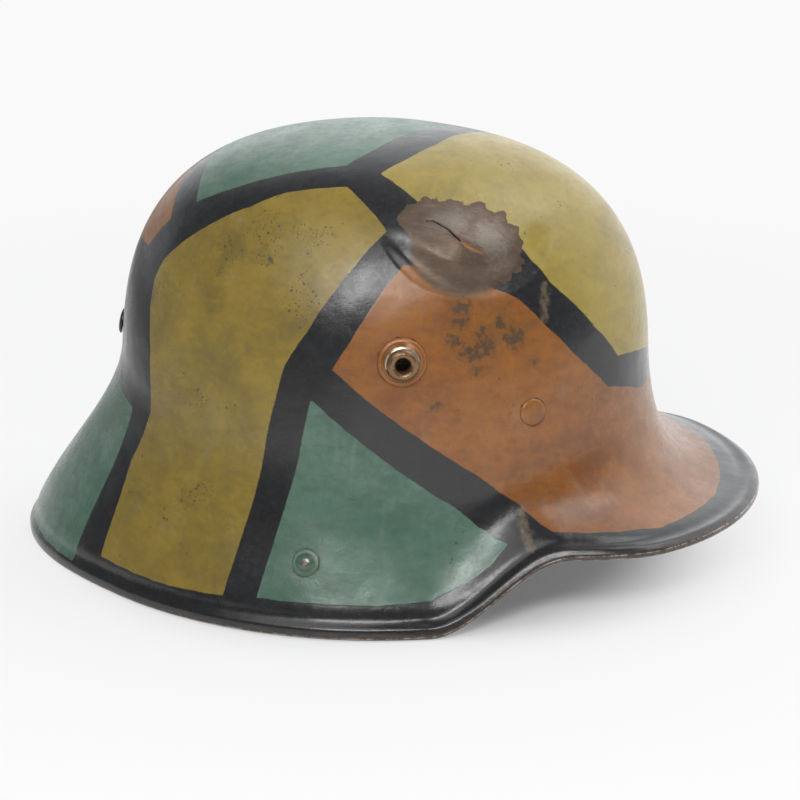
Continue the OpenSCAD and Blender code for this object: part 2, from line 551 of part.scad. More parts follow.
// Buckle: the strap's route through it, over the heel bar and under the roller
eye_r = wire_r + hinge_gap + strap_t;
buckle_w = -strap_t / 2;
over_r = eye_r + lay_gap + strap_t / 2;
under_r = roller_r + 0.3 + strap_t / 2;
cross_turn = asin((over_r + under_r) / buckle_len);
tail = 1.5 * strap_t - strap_t / 2 + lay_gap;
module strap_short() {
  color([0.3, 0.2, 0.12]) strap_frame() difference() {
    union() {
      linear_extrude(height = strap_w, center = true) polygon(concat(
        [for (i = [0:len(short_path) - 1]) let (d = path_dir(short_path, i)) short_path[i] + strap_t / 2 * [d[1], -d[0]]],
        [lean_point(heel_at, -1.5 * strap_t), lean_point(heel_at - fold_len + 1, -1.5 * strap_t)],
        [lean_point(heel_at - fold_len, -strap_t / 2)],
        [for (i = [len(short_path) - 2:-1:0]) let (d = path_dir(short_path, i)) short_path[i] - strap_t / 2 * [d[1], -d[0]]]));
      on_lean(heel_at) translate([0, buckle_w, -strap_w / 2 + 0.1]) cylinder(r = eye_r, h = strap_w - 0.2, $fn = 48);
    }
    on_lean(heel_at) translate([0, buckle_w, -strap_w]) cylinder(r = wire_r + hinge_gap, h = 2 * strap_w, $fn = 48);
    on_lean(heel_at) translate([-3.5, -8, -2]) cube([9, 16, 4]);
    translate([strap_x - 5, end_rivet_y, 0]) rotate([0, 90, 0]) cylinder(r = 1.5 + rivet_gap, h = 10, $fn = 32);
  }
}
tail_path = [for (q = concat(
    [for (a = [-tail_len:4:-12]) [a, tail]],
    [for (a = [-10:2.5:-2.5]) [a, keyed(a, [-12, 0], [tail, buckle_w + over_r])]],
    [for (i = [0:6]) let (a = 90 - i / 6 * cross_turn) [0, buckle_w] + over_r * [cos(a), sin(a)]],
    [for (i = [0:6]) let (a = 270 - cross_turn + i / 6 * cross_turn) [buckle_len, buckle_w] + under_r * [cos(a), sin(a)]],
    [for (a = [3:3:24]) [buckle_len + a, keyed(a, [0, 24], [buckle_w - under_r, 0])]])) lean_point(heel_at + q[0], q[1])];
chin_path = [for (a = [strap_lean:5:180 - strap_lean]) [chin_r * cos(a), strap_drop - chin_r + chin_r * sin(a)]];
module strap_long() {
  color([0.3, 0.2, 0.12]) strap_frame() difference() {
    ribbon(concat(tail_path, chin_path, mirrored(concat([[strap_x, strap_start]], bend_path))), strap_w, strap_t);
    on_lean(heel_at) translate([-1, -10, -2]) cube([12, 20, 4]);
    for (a = [-24, 24, 34]) on_lean(heel_at) translate([a, -8, 0]) rotate([-90, 0, 0])
      cylinder(r = 1.6, h = 16, $fn = 24);
    translate([-strap_x - 5, end_rivet_y, 0]) rotate([0, 90, 0]) cylinder(r = 1.5 + rivet_gap, h = 10, $fn = 32);
  }
}
// Leather loop that holds the tail down
module strap_keeper() {
  low = -1.5 * strap_t - lay_gap;
  high = tail + strap_t / 2 + lay_gap;
  color([0.26, 0.17, 0.1]) strap_frame() on_lean(heel_at) translate([keeper_at, 0, 0]) difference() {
    translate([-4, low - 1.4, -strap_w / 2 - 1.6]) cube([8, high - low + 2.8, strap_w + 3.2]);
    translate([-5, low, -strap_w / 2 - 0.2]) cube([10, high - low, strap_w + 0.4]);
  }
}
// Buckle frame of bent wire, its roller and its tongue
bar_half = strap_w / 2 + 2.3;
module buckle_frame() {
  color([0.45, 0.42, 0.36]) strap_frame() on_lean(heel_at) translate([0, buckle_w, 0]) {
    for (a = [0, buckle_len]) translate([a, 0, -bar_half]) cylinder(r = wire_r, h = 2 * bar_half, $fn = 32);
    for (z = [-bar_half, bar_half]) {
      translate([0, 0, z]) rotate([0, 90, 0]) cylinder(r = wire_r, h = buckle_len, $fn = 32);
      for (a = [0, buckle_len]) translate([a, 0, z]) sphere(r = wire_r, $fn = 32);
    }
  }
}
module buckle_roller() {
  color([0.6, 0.52, 0.35]) strap_frame() on_lean(heel_at) translate([buckle_len, buckle_w, -strap_w / 2]) difference() {
    cylinder(r = roller_r, h = strap_w, $fn = 48);
    translate([0, 0, -1]) cylinder(r = wire_r + hinge_gap, h = strap_w + 2, $fn = 48);
  }
}
module buckle_tongue() {
  top = roller_r + 0.3;
  color([0.6, 0.52, 0.35]) strap_frame() on_lean(heel_at) translate([0, buckle_w, -1.5]) difference() {
    union() {
      cylinder(r = wire_r + 1.2, h = 3, $fn = 48);
      linear_extrude(height = 3)
        polygon([[0, 0], [1.6, 0.9], [buckle_len - 3, top], [buckle_len + 2.6, top], [buckle_len + 3.2, top + 0.8],
          [buckle_len + 2, top + 1.6], [buckle_len - 3, top + 1.5], [0, wire_r + 1.1]]);
    }
    translate([0, 0, -1]) cylinder(r = wire_r + hinge_gap, h = 5, $fn = 48);
  }
}

// End fitting: an eye that turns on the lug's post, with a tail riveted to the leather
module strap_end(side) {
  color([0.42, 0.4, 0.36]) strap_frame() hand(side) translate([plate_x - plate_t / 2, 0, 0]) difference() {
    union() {
      rotate([0, 90, 0]) cylinder(r = post_r + 3.2, h = plate_t, $fn = 64);
      rotate([90, 0, 90]) linear_extrude(height = plate_t)
        polygon([[0, post_r + 3], [0, -post_r - 3], [7, -strap_w / 2 + 2], [16, -strap_w / 2 + 2],
          [17, -strap_w / 2 + 4], [17, strap_w / 2 - 4], [16, strap_w / 2 - 2], [7, strap_w / 2 - 2]]);
    }
    translate([-1, 0, 0]) rotate([0, 90, 0]) cylinder(r = post_r + hinge_gap, h = plate_t + 2, $fn = 64);
    translate([-1, end_rivet_y, 0]) rotate([0, 90, 0]) cylinder(r = 1.5 + rivet_gap, h = plate_t + 2, $fn = 32);
  }
}
module end_rivet(side) {
  color([0.5, 0.46, 0.38]) strap_frame() hand(side) translate([0, end_rivet_y, 0]) {
    translate([plate_x - plate_t / 2 - strap_t - 0.6, 0, 0]) rotate([0, 90, 0])
      cylinder(r = 1.5, h = strap_t + plate_t + 1.2, $fn = 32);
    translate([plate_x + plate_t / 2, 0, 0]) rotate([0, 90, 0]) rotate_extrude($fn = 48)
      polygon([[0, 0], [3.4, 0], [3.2, 0.5], [1.8, 1], [0, 1.1]]);
    translate([plate_x - plate_t / 2 - strap_t, 0, 0]) rotate([0, -90, 0]) rotate_extrude($fn = 48)
      polygon([[0, 0], [3.4, 0], [3.2, 0.5], [1.8, 1], [0, 1.1]]);
  }
}
module strap_end_left() { strap_end(1); }
module strap_end_right() { strap_end(-1); }
module end_rivet_left() { end_rivet(1); }
module end_rivet_right() { end_rivet(-1); }

shell();
vent_lug_left();
vent_lug_right();
vent_washer_left();
vent_washer_right();
liner_rivet_front_left();
liner_rivet_front_right();
liner_rivet_rear();
liner_washer_front_left();
liner_washer_front_right();
liner_washer_rear();
liner_band();
pad_front_left();
pad_front_right();
pad_rear();
cushion_front_left();
cushion_front_right();
cushion_rear();
strap_lug_left();
strap_lug_right();
strap_rivet_left();
strap_rivet_right();
strap_end_left();
strap_end_right();
end_rivet_left();
end_rivet_right();
strap_short();
strap_long();
strap_keeper();
buckle_frame();
buckle_roller();
buckle_tongue();
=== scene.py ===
"""A painted steel helmet with a flared skirt, its leather liner and its chinstrap, dressed for the camera.

The shell is pressed from one sheet and painted by hand in angular panels of rust, ochre and green with broad
black borders. It was struck once over the wearer's right brow. Places on the shell are given as a maker would
chalk them: a plan angle from the front, positive on the wearer's left, and a tape distance from the crown.
"""

import logging
import math
from dataclasses import dataclass, field
from enum import Enum
from typing import Callable, Iterable, Sequence

import bmesh
import bpy
import numpy as np
from mathutils import Matrix, Vector


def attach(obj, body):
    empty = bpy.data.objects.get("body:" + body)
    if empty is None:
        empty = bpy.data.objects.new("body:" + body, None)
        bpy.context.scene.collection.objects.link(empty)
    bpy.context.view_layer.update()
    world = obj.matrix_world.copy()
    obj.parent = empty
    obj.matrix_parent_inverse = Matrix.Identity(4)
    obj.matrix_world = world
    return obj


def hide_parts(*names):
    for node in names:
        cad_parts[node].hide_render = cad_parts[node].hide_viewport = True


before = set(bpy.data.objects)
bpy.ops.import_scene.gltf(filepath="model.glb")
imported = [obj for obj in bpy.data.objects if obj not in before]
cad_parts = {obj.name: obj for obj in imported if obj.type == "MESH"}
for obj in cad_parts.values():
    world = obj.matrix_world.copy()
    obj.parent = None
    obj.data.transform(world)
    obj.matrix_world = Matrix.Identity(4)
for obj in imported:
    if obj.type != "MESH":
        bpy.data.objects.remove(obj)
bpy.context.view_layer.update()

LOG = logging.getLogger("helmet")
MM = 0.001
FAR = 9.0
Array = np.ndarray
Mesh = bmesh.types.BMesh
Socket = bpy.types.NodeSocket
Material = bpy.types.Material
Colour = tuple[float, float, float]
Numbers = dict[str, np.ndarray]
Corners = tuple[tuple[float, float], ...]
Profile = Sequence[tuple[float, float]]
Spots = tuple[tuple[float, float, float], ...]


def keyed(x: Array, keys: Sequence[float], values: Sequence[float]) -> Array:
    """Runs a smooth curve through keyed values, flat at both ends.

    Args:
        x: Where the curve is read.
        keys: The places of the values, rising.
        values: The values at the keys.

    Returns:
        The curve's values at x.
    """
    k, v = np.asarray(keys, float), np.asarray(values, float)
    slope = np.zeros(len(k))
    slope[1:-1] = (v[2:] - v[:-2]) / (k[2:] - k[:-2])
    i = np.clip(np.searchsorted(k, x, side="right") - 1, 0, len(k) - 2)
    w = k[i + 1] - k[i]
    s = np.clip((x - k[i]) / w, 0, 1)
    return (v[i] * (2 * s**3 - 3 * s**2 + 1) + v[i + 1] * (3 * s**2 - 2 * s**3)
            + w * slope[i] * (s**3 - 2 * s**2 + s) + w * slope[i + 1] * (s**3 - s**2))


def smooth(x: Array, low: float, high: float) -> Array:
    """Rises smoothly from 0 at low to 1 at high, or falls where high lies below low."""
    s = np.clip((np.asarray(x, float) - low) / (high - low), 0, 1)
    return s * s * (3 - 2 * s)


def split(points: Array, at: Array, out: Array) -> tuple[Array, Array]:
    """Measures how far points lie from a place, along a direction and across it."""
    v = points - at
    over = v @ out
    return over, np.linalg.norm(v - over[:, None] * out, axis=1)


def away(points: Array, at: Array) -> Array:
    """Measures how far points lie from a place."""
    return np.linalg.norm(points - at, axis=1)


def tape_along(path: Array) -> Array:
    """Measures how far along a path each of its points lies."""
    return np.concatenate([[0], np.cumsum(np.linalg.norm(np.diff(path, axis=0), axis=1))])


def arc(x: float, y: float, radius: float, angles: Array) -> Array:
    """Gives points of a circle's arc round a middle."""
    return np.stack([x + radius * np.cos(angles), y + radius * np.sin(angles)], -1)


@dataclass(frozen=True)
class ShellForm:
    """Sizes of the pressed shell, in millimetres and degrees, and the formulas that shape it."""

    height: float = 169.0
    crown_front: float = 107.5
    crown_rear: float = 104.0
    crown_side: float = 91.0
    crown_power: float = 2.7
    crown_lift: float = 2.65
    sheet: float = 1.2
    waist_angles: tuple[float, ...] = (0, 50, 90, 135, 180)
    waist_heights: tuple[float, ...] = (85, 53, 64, 70.5, 84.5)
    draft_angles: tuple[float, ...] = (0, 90, 180)
    drafts: tuple[float, ...] = (0.05, 0.07, 0.07)
    rim_angles: tuple[float, ...] = (0, 30, 50, 90, 135, 180)
    rim_reaches: tuple[float, ...] = (153.5, 144, 119, 114, 123.5, 147)
    visor_lift: float = 27.5
    step_start: float = 43.0
    step_end: float = 69.0
    dip_angles: tuple[float, ...] = (0, 50, 90, 180)
    dips: tuple[float, ...] = (6, 39, 67, 71)
    pull_angles: tuple[float, ...] = (0, 50, 180)
    pulls: tuple[float, ...] = (0.74, 0.42, 0.33)
    bead_radius: float = 1.7

    @property
    def centre_y(self) -> float:
        """Where the crown's centre lies, so that the shell is centred front to rear."""
        return (self.rim_reaches[0] - self.rim_reaches[-1]) / 2

    @staticmethod
    def fold(turn: Array) -> Array:
        """Folds a plan angle of either side onto 0 to 180."""
        return np.abs((np.asarray(turn, float) + 180) % 360 - 180)

    def waist(self, turn: Array) -> tuple[Array, Array, Array]:
        """Reads the waist, where the crown turns into the flare.

        Args:
            turn: Plan angles, folded.

        Returns:
            The waist's radius, its height and the crown's draft there.
        """
        a = np.radians(turn)
        reach = np.where(turn < 90, self.crown_front, self.crown_rear)
        radius = 1 / np.sqrt((np.sin(a) / self.crown_side) ** 2 + (np.cos(a) / reach) ** 2)
        return (radius, keyed(turn, self.waist_angles, self.waist_heights),
                keyed(turn, self.draft_angles, self.drafts))

    def rim(self, turn: Array) -> tuple[Array, Array, Array]:
        """Reads the rim.

        Args:
            turn: Plan angles, folded.

        Returns:
            Its reach, its underside's height, and the sheet's dip in radians where it meets the roll.
        """
        lift = self.visor_lift * (1 - smooth(turn, self.step_start, self.step_end))
        return (keyed(turn, self.rim_angles, self.rim_reaches), lift,
                np.radians(keyed(turn, self.dip_angles, self.dips)))

    def outer(self, turn: Array, t: Array) -> tuple[Array, Array]:
        """Follows the outer face down from the crown.

        Args:
            turn: Plan angles.
            t: 0 at the crown, 1 at the waist, 2 at the roll.

        Returns:
            Radius and height.
        """
        turn = self.fold(turn)
        radius, height, draft = self.waist(turn)
        q = np.pi / 2 * np.clip(t, 0, 1)
        z = height + (self.height - height) * np.maximum(np.cos(q), 0) ** (2 / self.crown_lift)
        r = np.sin(q) ** (2 / self.crown_power) * (radius - draft * (z - height))
        keys = self.flare_keys(turn)
        u = np.clip(np.asarray(t, float) - 1, 0, 1)
        v = 1 - u
        weights = (v**3, 3 * v * v * u, 3 * v * u * u, u**3)
        flare_r = sum(w * k[0] for w, k in zip(weights, keys))
        flare_z = sum(w * k[1] for w, k in zip(weights, keys))
        return np.where(np.asarray(t) <= 1, r, flare_r), np.where(np.asarray(t) <= 1, z, flare_z)

    def flare_keys(self, turn: Array) -> list[tuple[Array, Array]]:
        """Gives the keys of the flare's curve from the waist to the roll.

        Args:
            turn: Plan angles, folded.

        Returns:
            Four pairs of radius and height.
        """
        radius, height, draft = self.waist(turn)
        reach, low, dip = self.rim(turn)
        end_r = reach - self.bead_radius + self.bead_radius * np.sin(dip)
        end_z = low + self.bead_radius + self.bead_radius * np.cos(dip)
        span = np.hypot(end_r - radius, end_z - height)
        pull = keyed(turn, self.pull_angles, self.pulls) * span / np.hypot(draft, 1)
        return [(radius, height), (radius + pull * draft, height - pull),
                (end_r - 0.33 * span * np.cos(dip), end_z + 0.33 * span * np.sin(dip)), (end_r, end_z)]

    def slant(self, turn: Array, t: Array) -> tuple[Array, Array]:
        """Gives how radius and height change over a short step down the outer face."""
        t, hair = np.asarray(t, float), 0.004
        before, after = self.outer(turn, np.maximum(t - hair, 0)), self.outer(turn, np.minimum(t + hair, 2))
        return after[0] - before[0], after[1] - before[1]

    def inner(self, turn: Array, t: Array) -> tuple[Array, Array]:
        """Follows the inner face, one sheet's thickness inside the outer one.

        Args:
            turn: Plan angles.
            t: 0 at the crown, 1 at the waist, 2 at the roll.

        Returns:
            Radius and height.
        """
        r, z = self.outer(turn, t)
        dr, dz = self.slant(turn, t)
        length = np.hypot(dr, dz)
        top = np.asarray(t, float) < 1e-6
        return (np.where(top, 0, r + self.sheet * dz / length),
                np.where(top, self.height - self.sheet, z - self.sheet * dr / length))

    def inner_end(self, turn: Array) -> Array:
        """Gives how far down the flare the inner face is bare before the roll covers it."""
        keys = self.flare_keys(turn)
        return 1 - 1.5 * self.bead_radius / np.hypot(keys[3][0] - keys[0][0], keys[3][1] - keys[0][1])

    def roll(self, turn: Array, share: Array, radius: Array | None = None) -> tuple[Array, Array]:
        """Follows the rolled edge from the outer face round below to the inner face.

        Args:
            turn: Plan angles.
            share: 0 at the outer face, 1 at the inner one.
            radius: The roll's radius, if not the plain one.

        Returns:
            Radius and height.
        """
        turn = self.fold(turn)
        reach, low, dip = self.rim(turn)
        a = np.pi / 2 - dip - 1.5 * np.pi * share
        rho = self.bead_radius if radius is None else radius
        return reach - self.bead_radius + rho * np.cos(a), low + self.bead_radius + rho * np.sin(a)

    def place(self, turn: Array, r: Array, z: Array) -> Array:
        """Puts radius and height at a plan angle into space, in millimetres."""
        a = np.radians(turn)
        return np.stack([r * np.sin(a), self.centre_y - r * np.cos(a), z], -1)

    def around(self, points: Array) -> tuple[Array, Array]:
        """Gives the plan angle and the radius of points."""
        x, y = points[:, 0], self.centre_y - points[:, 1]
        return np.degrees(np.arctan2(x, y)), np.hypot(x, y)

    def at_height(self, turn: Array, z: Array) -> Array:
        """Finds where down the outer face a height lies.

        Args:
            turn: Plan angles.
            z: Heights.

        Returns:
            The parameter t of outer().
        """
        turn, z = np.broadcast_arrays(np.asarray(turn, float), np.asarray(z, float))
        low, high = np.zeros(z.shape), np.full(z.shape, 2.0)
        for _ in range(24):
            mid = (low + high) / 2
            above = self.outer(turn, mid)[1] > z
            low, high = np.where(above, mid, low), np.where(above, high, mid)
        return (low + high) / 2

    def wall(self, turn: Array, z: Array) -> Array:
        """Gives the outer face's radius at a height."""
        return self.outer(turn, self.at_height(turn, z))[0]

    def wall_inside(self, turn: Array, z: Array) -> Array:
        """Gives the inner face's radius at a height."""
        t = self.at_height(turn, z)
        dr, dz = self.slant(turn, t)
        return self.outer(turn, t)[0] + self.sheet * np.hypot(dr, dz) / dz

    def skin(self, turn: float, z: float) -> Vector:
        """Gives the point of the outer face at a plan angle and height, in millimetres."""
        return Vector(self.place(turn, self.wall(turn, z), z))

    def skin_normal(self, turn: float, z: float) -> Vector:
        """Gives the outward direction of the outer face at a plan angle and height."""
        around = self.skin(turn + 1, z) - self.skin(turn - 1, z)
        up = self.skin(turn, z + 1) - self.skin(turn, z - 1)
        return around.cross(up).normalized()

    def on_skin(self, turn: float, z: float) -> Matrix:
        """Gives the place, in metres, of a fitting whose +Z stands out of the shell."""
        n = self.skin_normal(turn, z)
        spin = Matrix.Rotation(math.atan2(n.y, n.x), 4, "Z") @ Matrix.Rotation(math.acos(n.z), 4, "Y")
        return Matrix.Translation(self.skin(turn, z) * MM) @ spin


FORM = ShellForm()


class Chart:
    """The shell's outer face laid flat: tape distance from the crown along each plan angle."""

    def __init__(self, form: ShellForm) -> None:
        """Measures the face.

        Args:
            form: The shell's sizes.
        """
        self.turns = np.linspace(0, 180, 181)
        self.steps = np.linspace(0, 2, 801)
        turn, step = np.meshgrid(self.turns, self.steps, indexing="ij")
        side = form.outer(np.full(801, 90.0), np.linspace(0, 1, 801))
        run = np.concatenate([[0], np.cumsum(np.hypot(np.diff(side[0]), np.diff(side[1])))])
        self.even = (run / run[-1], np.linspace(0, 1, 801))
        r, z = form.outer(turn, self.to_t(step))
        lengths = np.hypot(np.diff(r, axis=1), np.diff(z, axis=1))
        self.tape = np.concatenate([np.zeros((181, 1)), np.cumsum(lengths, axis=1)], axis=1)

    def to_t(self, step: Array) -> Array:
        """Turns an even step down the face into the shell's own parameter."""
        return np.where(step <= 1, np.interp(np.clip(step, 0, 1), *self.even), step)

    def tape_at(self, turn: Array, step: Array) -> Array:
        """Reads the tape distance at plan angles and even steps.

        Args:
            turn: Plan angles.
            step: 0 at the crown, 1 at the waist, 2 at the roll.

        Returns:
            Millimetres from the crown.
        """
        a = ShellForm.fold(turn)
        b = np.clip(step, 0, 2) * 400
        i, j = np.minimum(a.astype(int), 179), np.minimum(b.astype(int), 799)
        u, v = a - i, b - j
        t = self.tape
        return ((t[i, j] * (1 - v) + t[i, j + 1] * v) * (1 - u)
                + (t[i + 1, j] * (1 - v) + t[i + 1, j + 1] * v) * u)

    def left(self, turn: Array, step: Array) -> Array:
        """Gives how much of the tape is left down to the roll."""
        return self.tape_at(turn, np.full(len(turn), 2.0)) - self.tape_at(turn, step)

    def to_step(self, t: Array) -> Array:
        """Turns the shell's own parameter into an even step down the face."""
        return np.where(t <= 1, np.interp(np.clip(t, 0, 1), self.even[1], self.even[0]), t)

    @staticmethod
    def flat(turn: Array, tape: Array) -> Array:
        """Puts a plan angle and tape distance on the flat chart."""
        a = np.radians(turn)
        return np.stack([tape * np.sin(a), -tape * np.cos(a)], -1)


CHART = Chart(FORM)


class Line:
    """A line on the shell through chalked corners, each a plan angle and a tape distance."""

    straight_from = 100.0

    def __init__(self, corners: Iterable[tuple[float, float]], closed: bool = True) -> None:
        """Lays the line on the chart.

        Args:
            corners: Plan angles and tape distances, in order.
            closed: Whether it runs back to its start.
        """
        corners = list(corners)
        points = []
        last = len(corners) if closed else len(corners) - 1
        for i in range(last):
            (a, s), (b, t) = corners[i], corners[(i + 1) % len(corners)]
            span = (b - a + 180) % 360 - 180
            n = max(1, int(abs(span) / 4)) if min(s, t) > self.straight_from else 1
            points += [Chart.flat(a + span * k / n, s + (t - s) * k / n) for k in range(n)]
        points.append(Chart.flat(*corners[last % len(corners)]))
        self.points = np.array(points)

    def gap(self, spot: Array, squeeze: Array) -> Array:
        """Measures how far places lie from the line, in millimetres on the shell.

        Args:
            spot: Places on the chart.
            squeeze: How much narrower than the chart the shell is there.

        Returns:
            The distances.
        """
        away = spot / np.maximum(np.linalg.norm(spot, axis=1), 1e-9)[:, None]
        across = np.stack([-away[:, 1], away[:, 0]], -1)
        d = self.points[None] - spot[:, None]
        local = np.stack([(d * away[:, None]).sum(-1), (d * across[:, None]).sum(-1) * squeeze[:, None]], -1)
        a, b = local[:, :-1], local[:, 1:]
        run = b - a
        length = np.maximum((run**2).sum(-1), 1e-9)
        s = np.clip(-(a * run).sum(-1) / length, 0, 1)
        return np.sqrt(((a + run * s[..., None]) ** 2).sum(-1)).min(1)

    def edge(self, spot: Array, squeeze: Array) -> Array:
        """Measures the distance to a closed line, negative inside it."""
        x, y = spot[:, 0:1], spot[:, 1:2]
        a, b = self.points[None, :-1], self.points[None, 1:]
        crosses = ((a[..., 1] > y) != (b[..., 1] > y)) & (
            x < (b[..., 0] - a[..., 0]) * (y - a[..., 1]) / np.where(
                a[..., 1] == b[..., 1], 1e-9, b[..., 1] - a[..., 1]) + a[..., 0])
        return self.gap(spot, squeeze) * np.where(crosses.sum(1) % 2, -1, 1)


class Paint(Enum):
    """The four paints inside the black borders, each with the name of its edge on the shell."""

    RUST = "rust_edge"
    YELLOW = "yellow_edge"
    OCHRE = "ochre_edge"
    GREEN = "green_edge"


@dataclass(frozen=True)
class Camouflage:
    """The painted panels, the struck patch, the marks of use, and the patch's painted highlights and its dark
    spot of scorch and painted shade, by plan angle and tape distance.
    """

    panels: tuple[tuple[Paint, Corners], ...] = (
        (Paint.OCHRE, ((-92, 54), (-76, 73), (-90, 96), (-97, 113), (-102, 126), (-104, 140), (-106, 155),
            (-107, 169), (-109, 196), (-110, 217), (-126, 221), (-141, 224), (-144, 186), (-142, 164),
            (-144, 140), (-147, 124), (-148, 115), (-147, 106), (-142, 95), (-135, 83), (-125, 71),
            (-115, 61), (-102, 56))),
        (Paint.GREEN, ((-163, 71), (-148, 81), (-138, 68), (-126, 56), (-111, 47), (-96, 42), (-83, 30),
            (-19, 15), (22, 26), (52, 44), (78, 64), (104, 72), (138, 62), (172, 64))),
        (Paint.RUST, ((-172, 80), (-154, 93), (-158, 108), (-171, 111), (172, 118), (152, 127), (134, 113),
            (137, 91), (154, 79), (175, 76))),
        (Paint.GREEN, ((-150, 169), (-148, 234), (-158, 238), (-169, 241), (180, 243), (171, 241),
            (169, 215), (169, 190), (172, 168), (-167, 167))),
        (Paint.YELLOW, ((-78, 46), (-64, 61), (-36, 92), (-33, 107), (-29, 117), (-24, 131), (-18, 147),
            (-3, 155), (14, 158), (29, 148), (41, 130), (47, 106), (48, 82), (42, 62), (28, 48), (12, 37),
            (-10, 30), (-33, 31), (-63, 38))),
        (Paint.RUST, ((-90, 126), (-82, 106), (-71, 86), (-42, 108), (-37, 121), (-31, 136), (-22, 156),
            (-8, 168), (8, 170), (22, 166), (33, 172), (38, 186), (37, 200), (30, 210), (20, 218), (8, 222),
            (-1, 224), (-8, 224), (-18, 221), (-27, 218), (-34, 211), (-44, 199), (-47, 184), (-55, 170),
            (-68, 153), (-78, 141))),
        (Paint.GREEN, ((-95, 138), (-78, 159), (-61, 180), (-52, 197), (-56, 203), (-60, 207), (-68, 213),
            (-79, 214), (-89, 214), (-103, 215), (-101, 188), (-98, 163))),
        (Paint.RUST, ((61, 74), (60, 96), (56, 122), (62, 138), (78, 142), (96, 140), (112, 144),
            (124, 128), (120, 104), (117, 84), (102, 86), (84, 80))),
        (Paint.GREEN, ((45, 164), (54, 152), (76, 158), (96, 156), (103, 172), (101, 194), (104, 214),
            (92, 214), (80, 213), (68, 211), (60, 204), (54, 195), (49, 184))),
        (Paint.OCHRE, ((113, 160), (122, 150), (138, 132), (156, 142), (154, 176), (151, 206), (152, 229),
            (140, 222), (126, 218), (115, 214), (112, 190))))
    patch: Corners = (
        (-73, 68.5), (-71.6, 65), (-67.7, 61.5), (-64.7, 61), (-60.3, 59), (-55.9, 62), (-51.7, 62),
        (-47, 64.5), (-47.3, 66), (-39.6, 68.5), (-41, 71.5), (-36.2, 75), (-37, 79), (-35, 83),
        (-36.3, 87.5), (-35, 89), (-37.2, 92), (-37.2, 95), (-39.5, 98), (-44.4, 100), (-46.8, 101),
        (-50.5, 102), (-55.6, 102), (-60.6, 100), (-64.4, 96), (-67, 92), (-69, 85.5), (-69, 79.5),
        (-69.3, 75.5), (-71.5, 71.5))
    crack: Corners = ((-62.7, 70), (-60.8, 70.5), (-57, 75.5), (-55.6, 79), (-54.5, 81))
    rusty_crack: Corners = ((-54.5, 81), (-52.3, 84), (-49.2, 87))
    hair_crack: Corners = ((-46, 99), (-43.8, 101.5), (-41, 102), (-39, 99.5))
    stains: Spots = (
        (-57.2, 105, 5.5), (-57.6, 111, 4.5), (-59.7, 117, 4), (-56, 122, 5), (-51.5, 121, 6.5),
        (-47, 118, 5), (-44, 122, 5), (-48, 114, 3.5), (-53, 115, 4), (-55, 130, 3), (-66, 140, 3),
        (-41, 132, 3))
    streaks: tuple[Corners, ...] = (
        ((-34.8, 107), (-35.6, 112), (-37, 119)), ((-47.4, 186), (-48.2, 196), (-48.8, 202)))
    streak_half: float = 2.6
    chips: Spots = (
        (-110.6, 89.7, 2.6), (-124.6, 88, 1.6), (-124.6, 190.9, 2.6), (-122.8, 182, 1.6),
        (-51.5, 205.5, 1.8), (-34.2, 86, 1.4), (-100, 84, 1.8), (40, 190, 2.5), (130, 170, 3),
        (95, 100, 2.5), (150, 205, 2.2))
    speckled: Spots = (
        (-123, 147, 9), (-123, 184, 8), (-124, 90, 9), (-112, 84, 10), (-103, 76, 8), (-99, 101, 9),
        (-19.7, 60, 5), (-132, 100, 5), (-60, 200, 9), (120, 150, 9), (85, 110, 9), (20, 90, 9),
        (-170, 200, 9))
    # dark spot on the patch's lower middle: partly scorch, partly painted shade of the bulge's underside
    dark_spots: Spots = ((-53.2, 93.4, 8.5),)
    # pale spots painted on the scraped metal as its highlights
    painted_highlight_spots: Spots = ((-55.6, 71.8, 6), (-45.4, 82.9, 6))
    blurred: Spots = ((-68, 90, 9), (-61, 100, 10), (-50, 103, 10), (-71, 80, 6))

DESIGN = Camouflage()


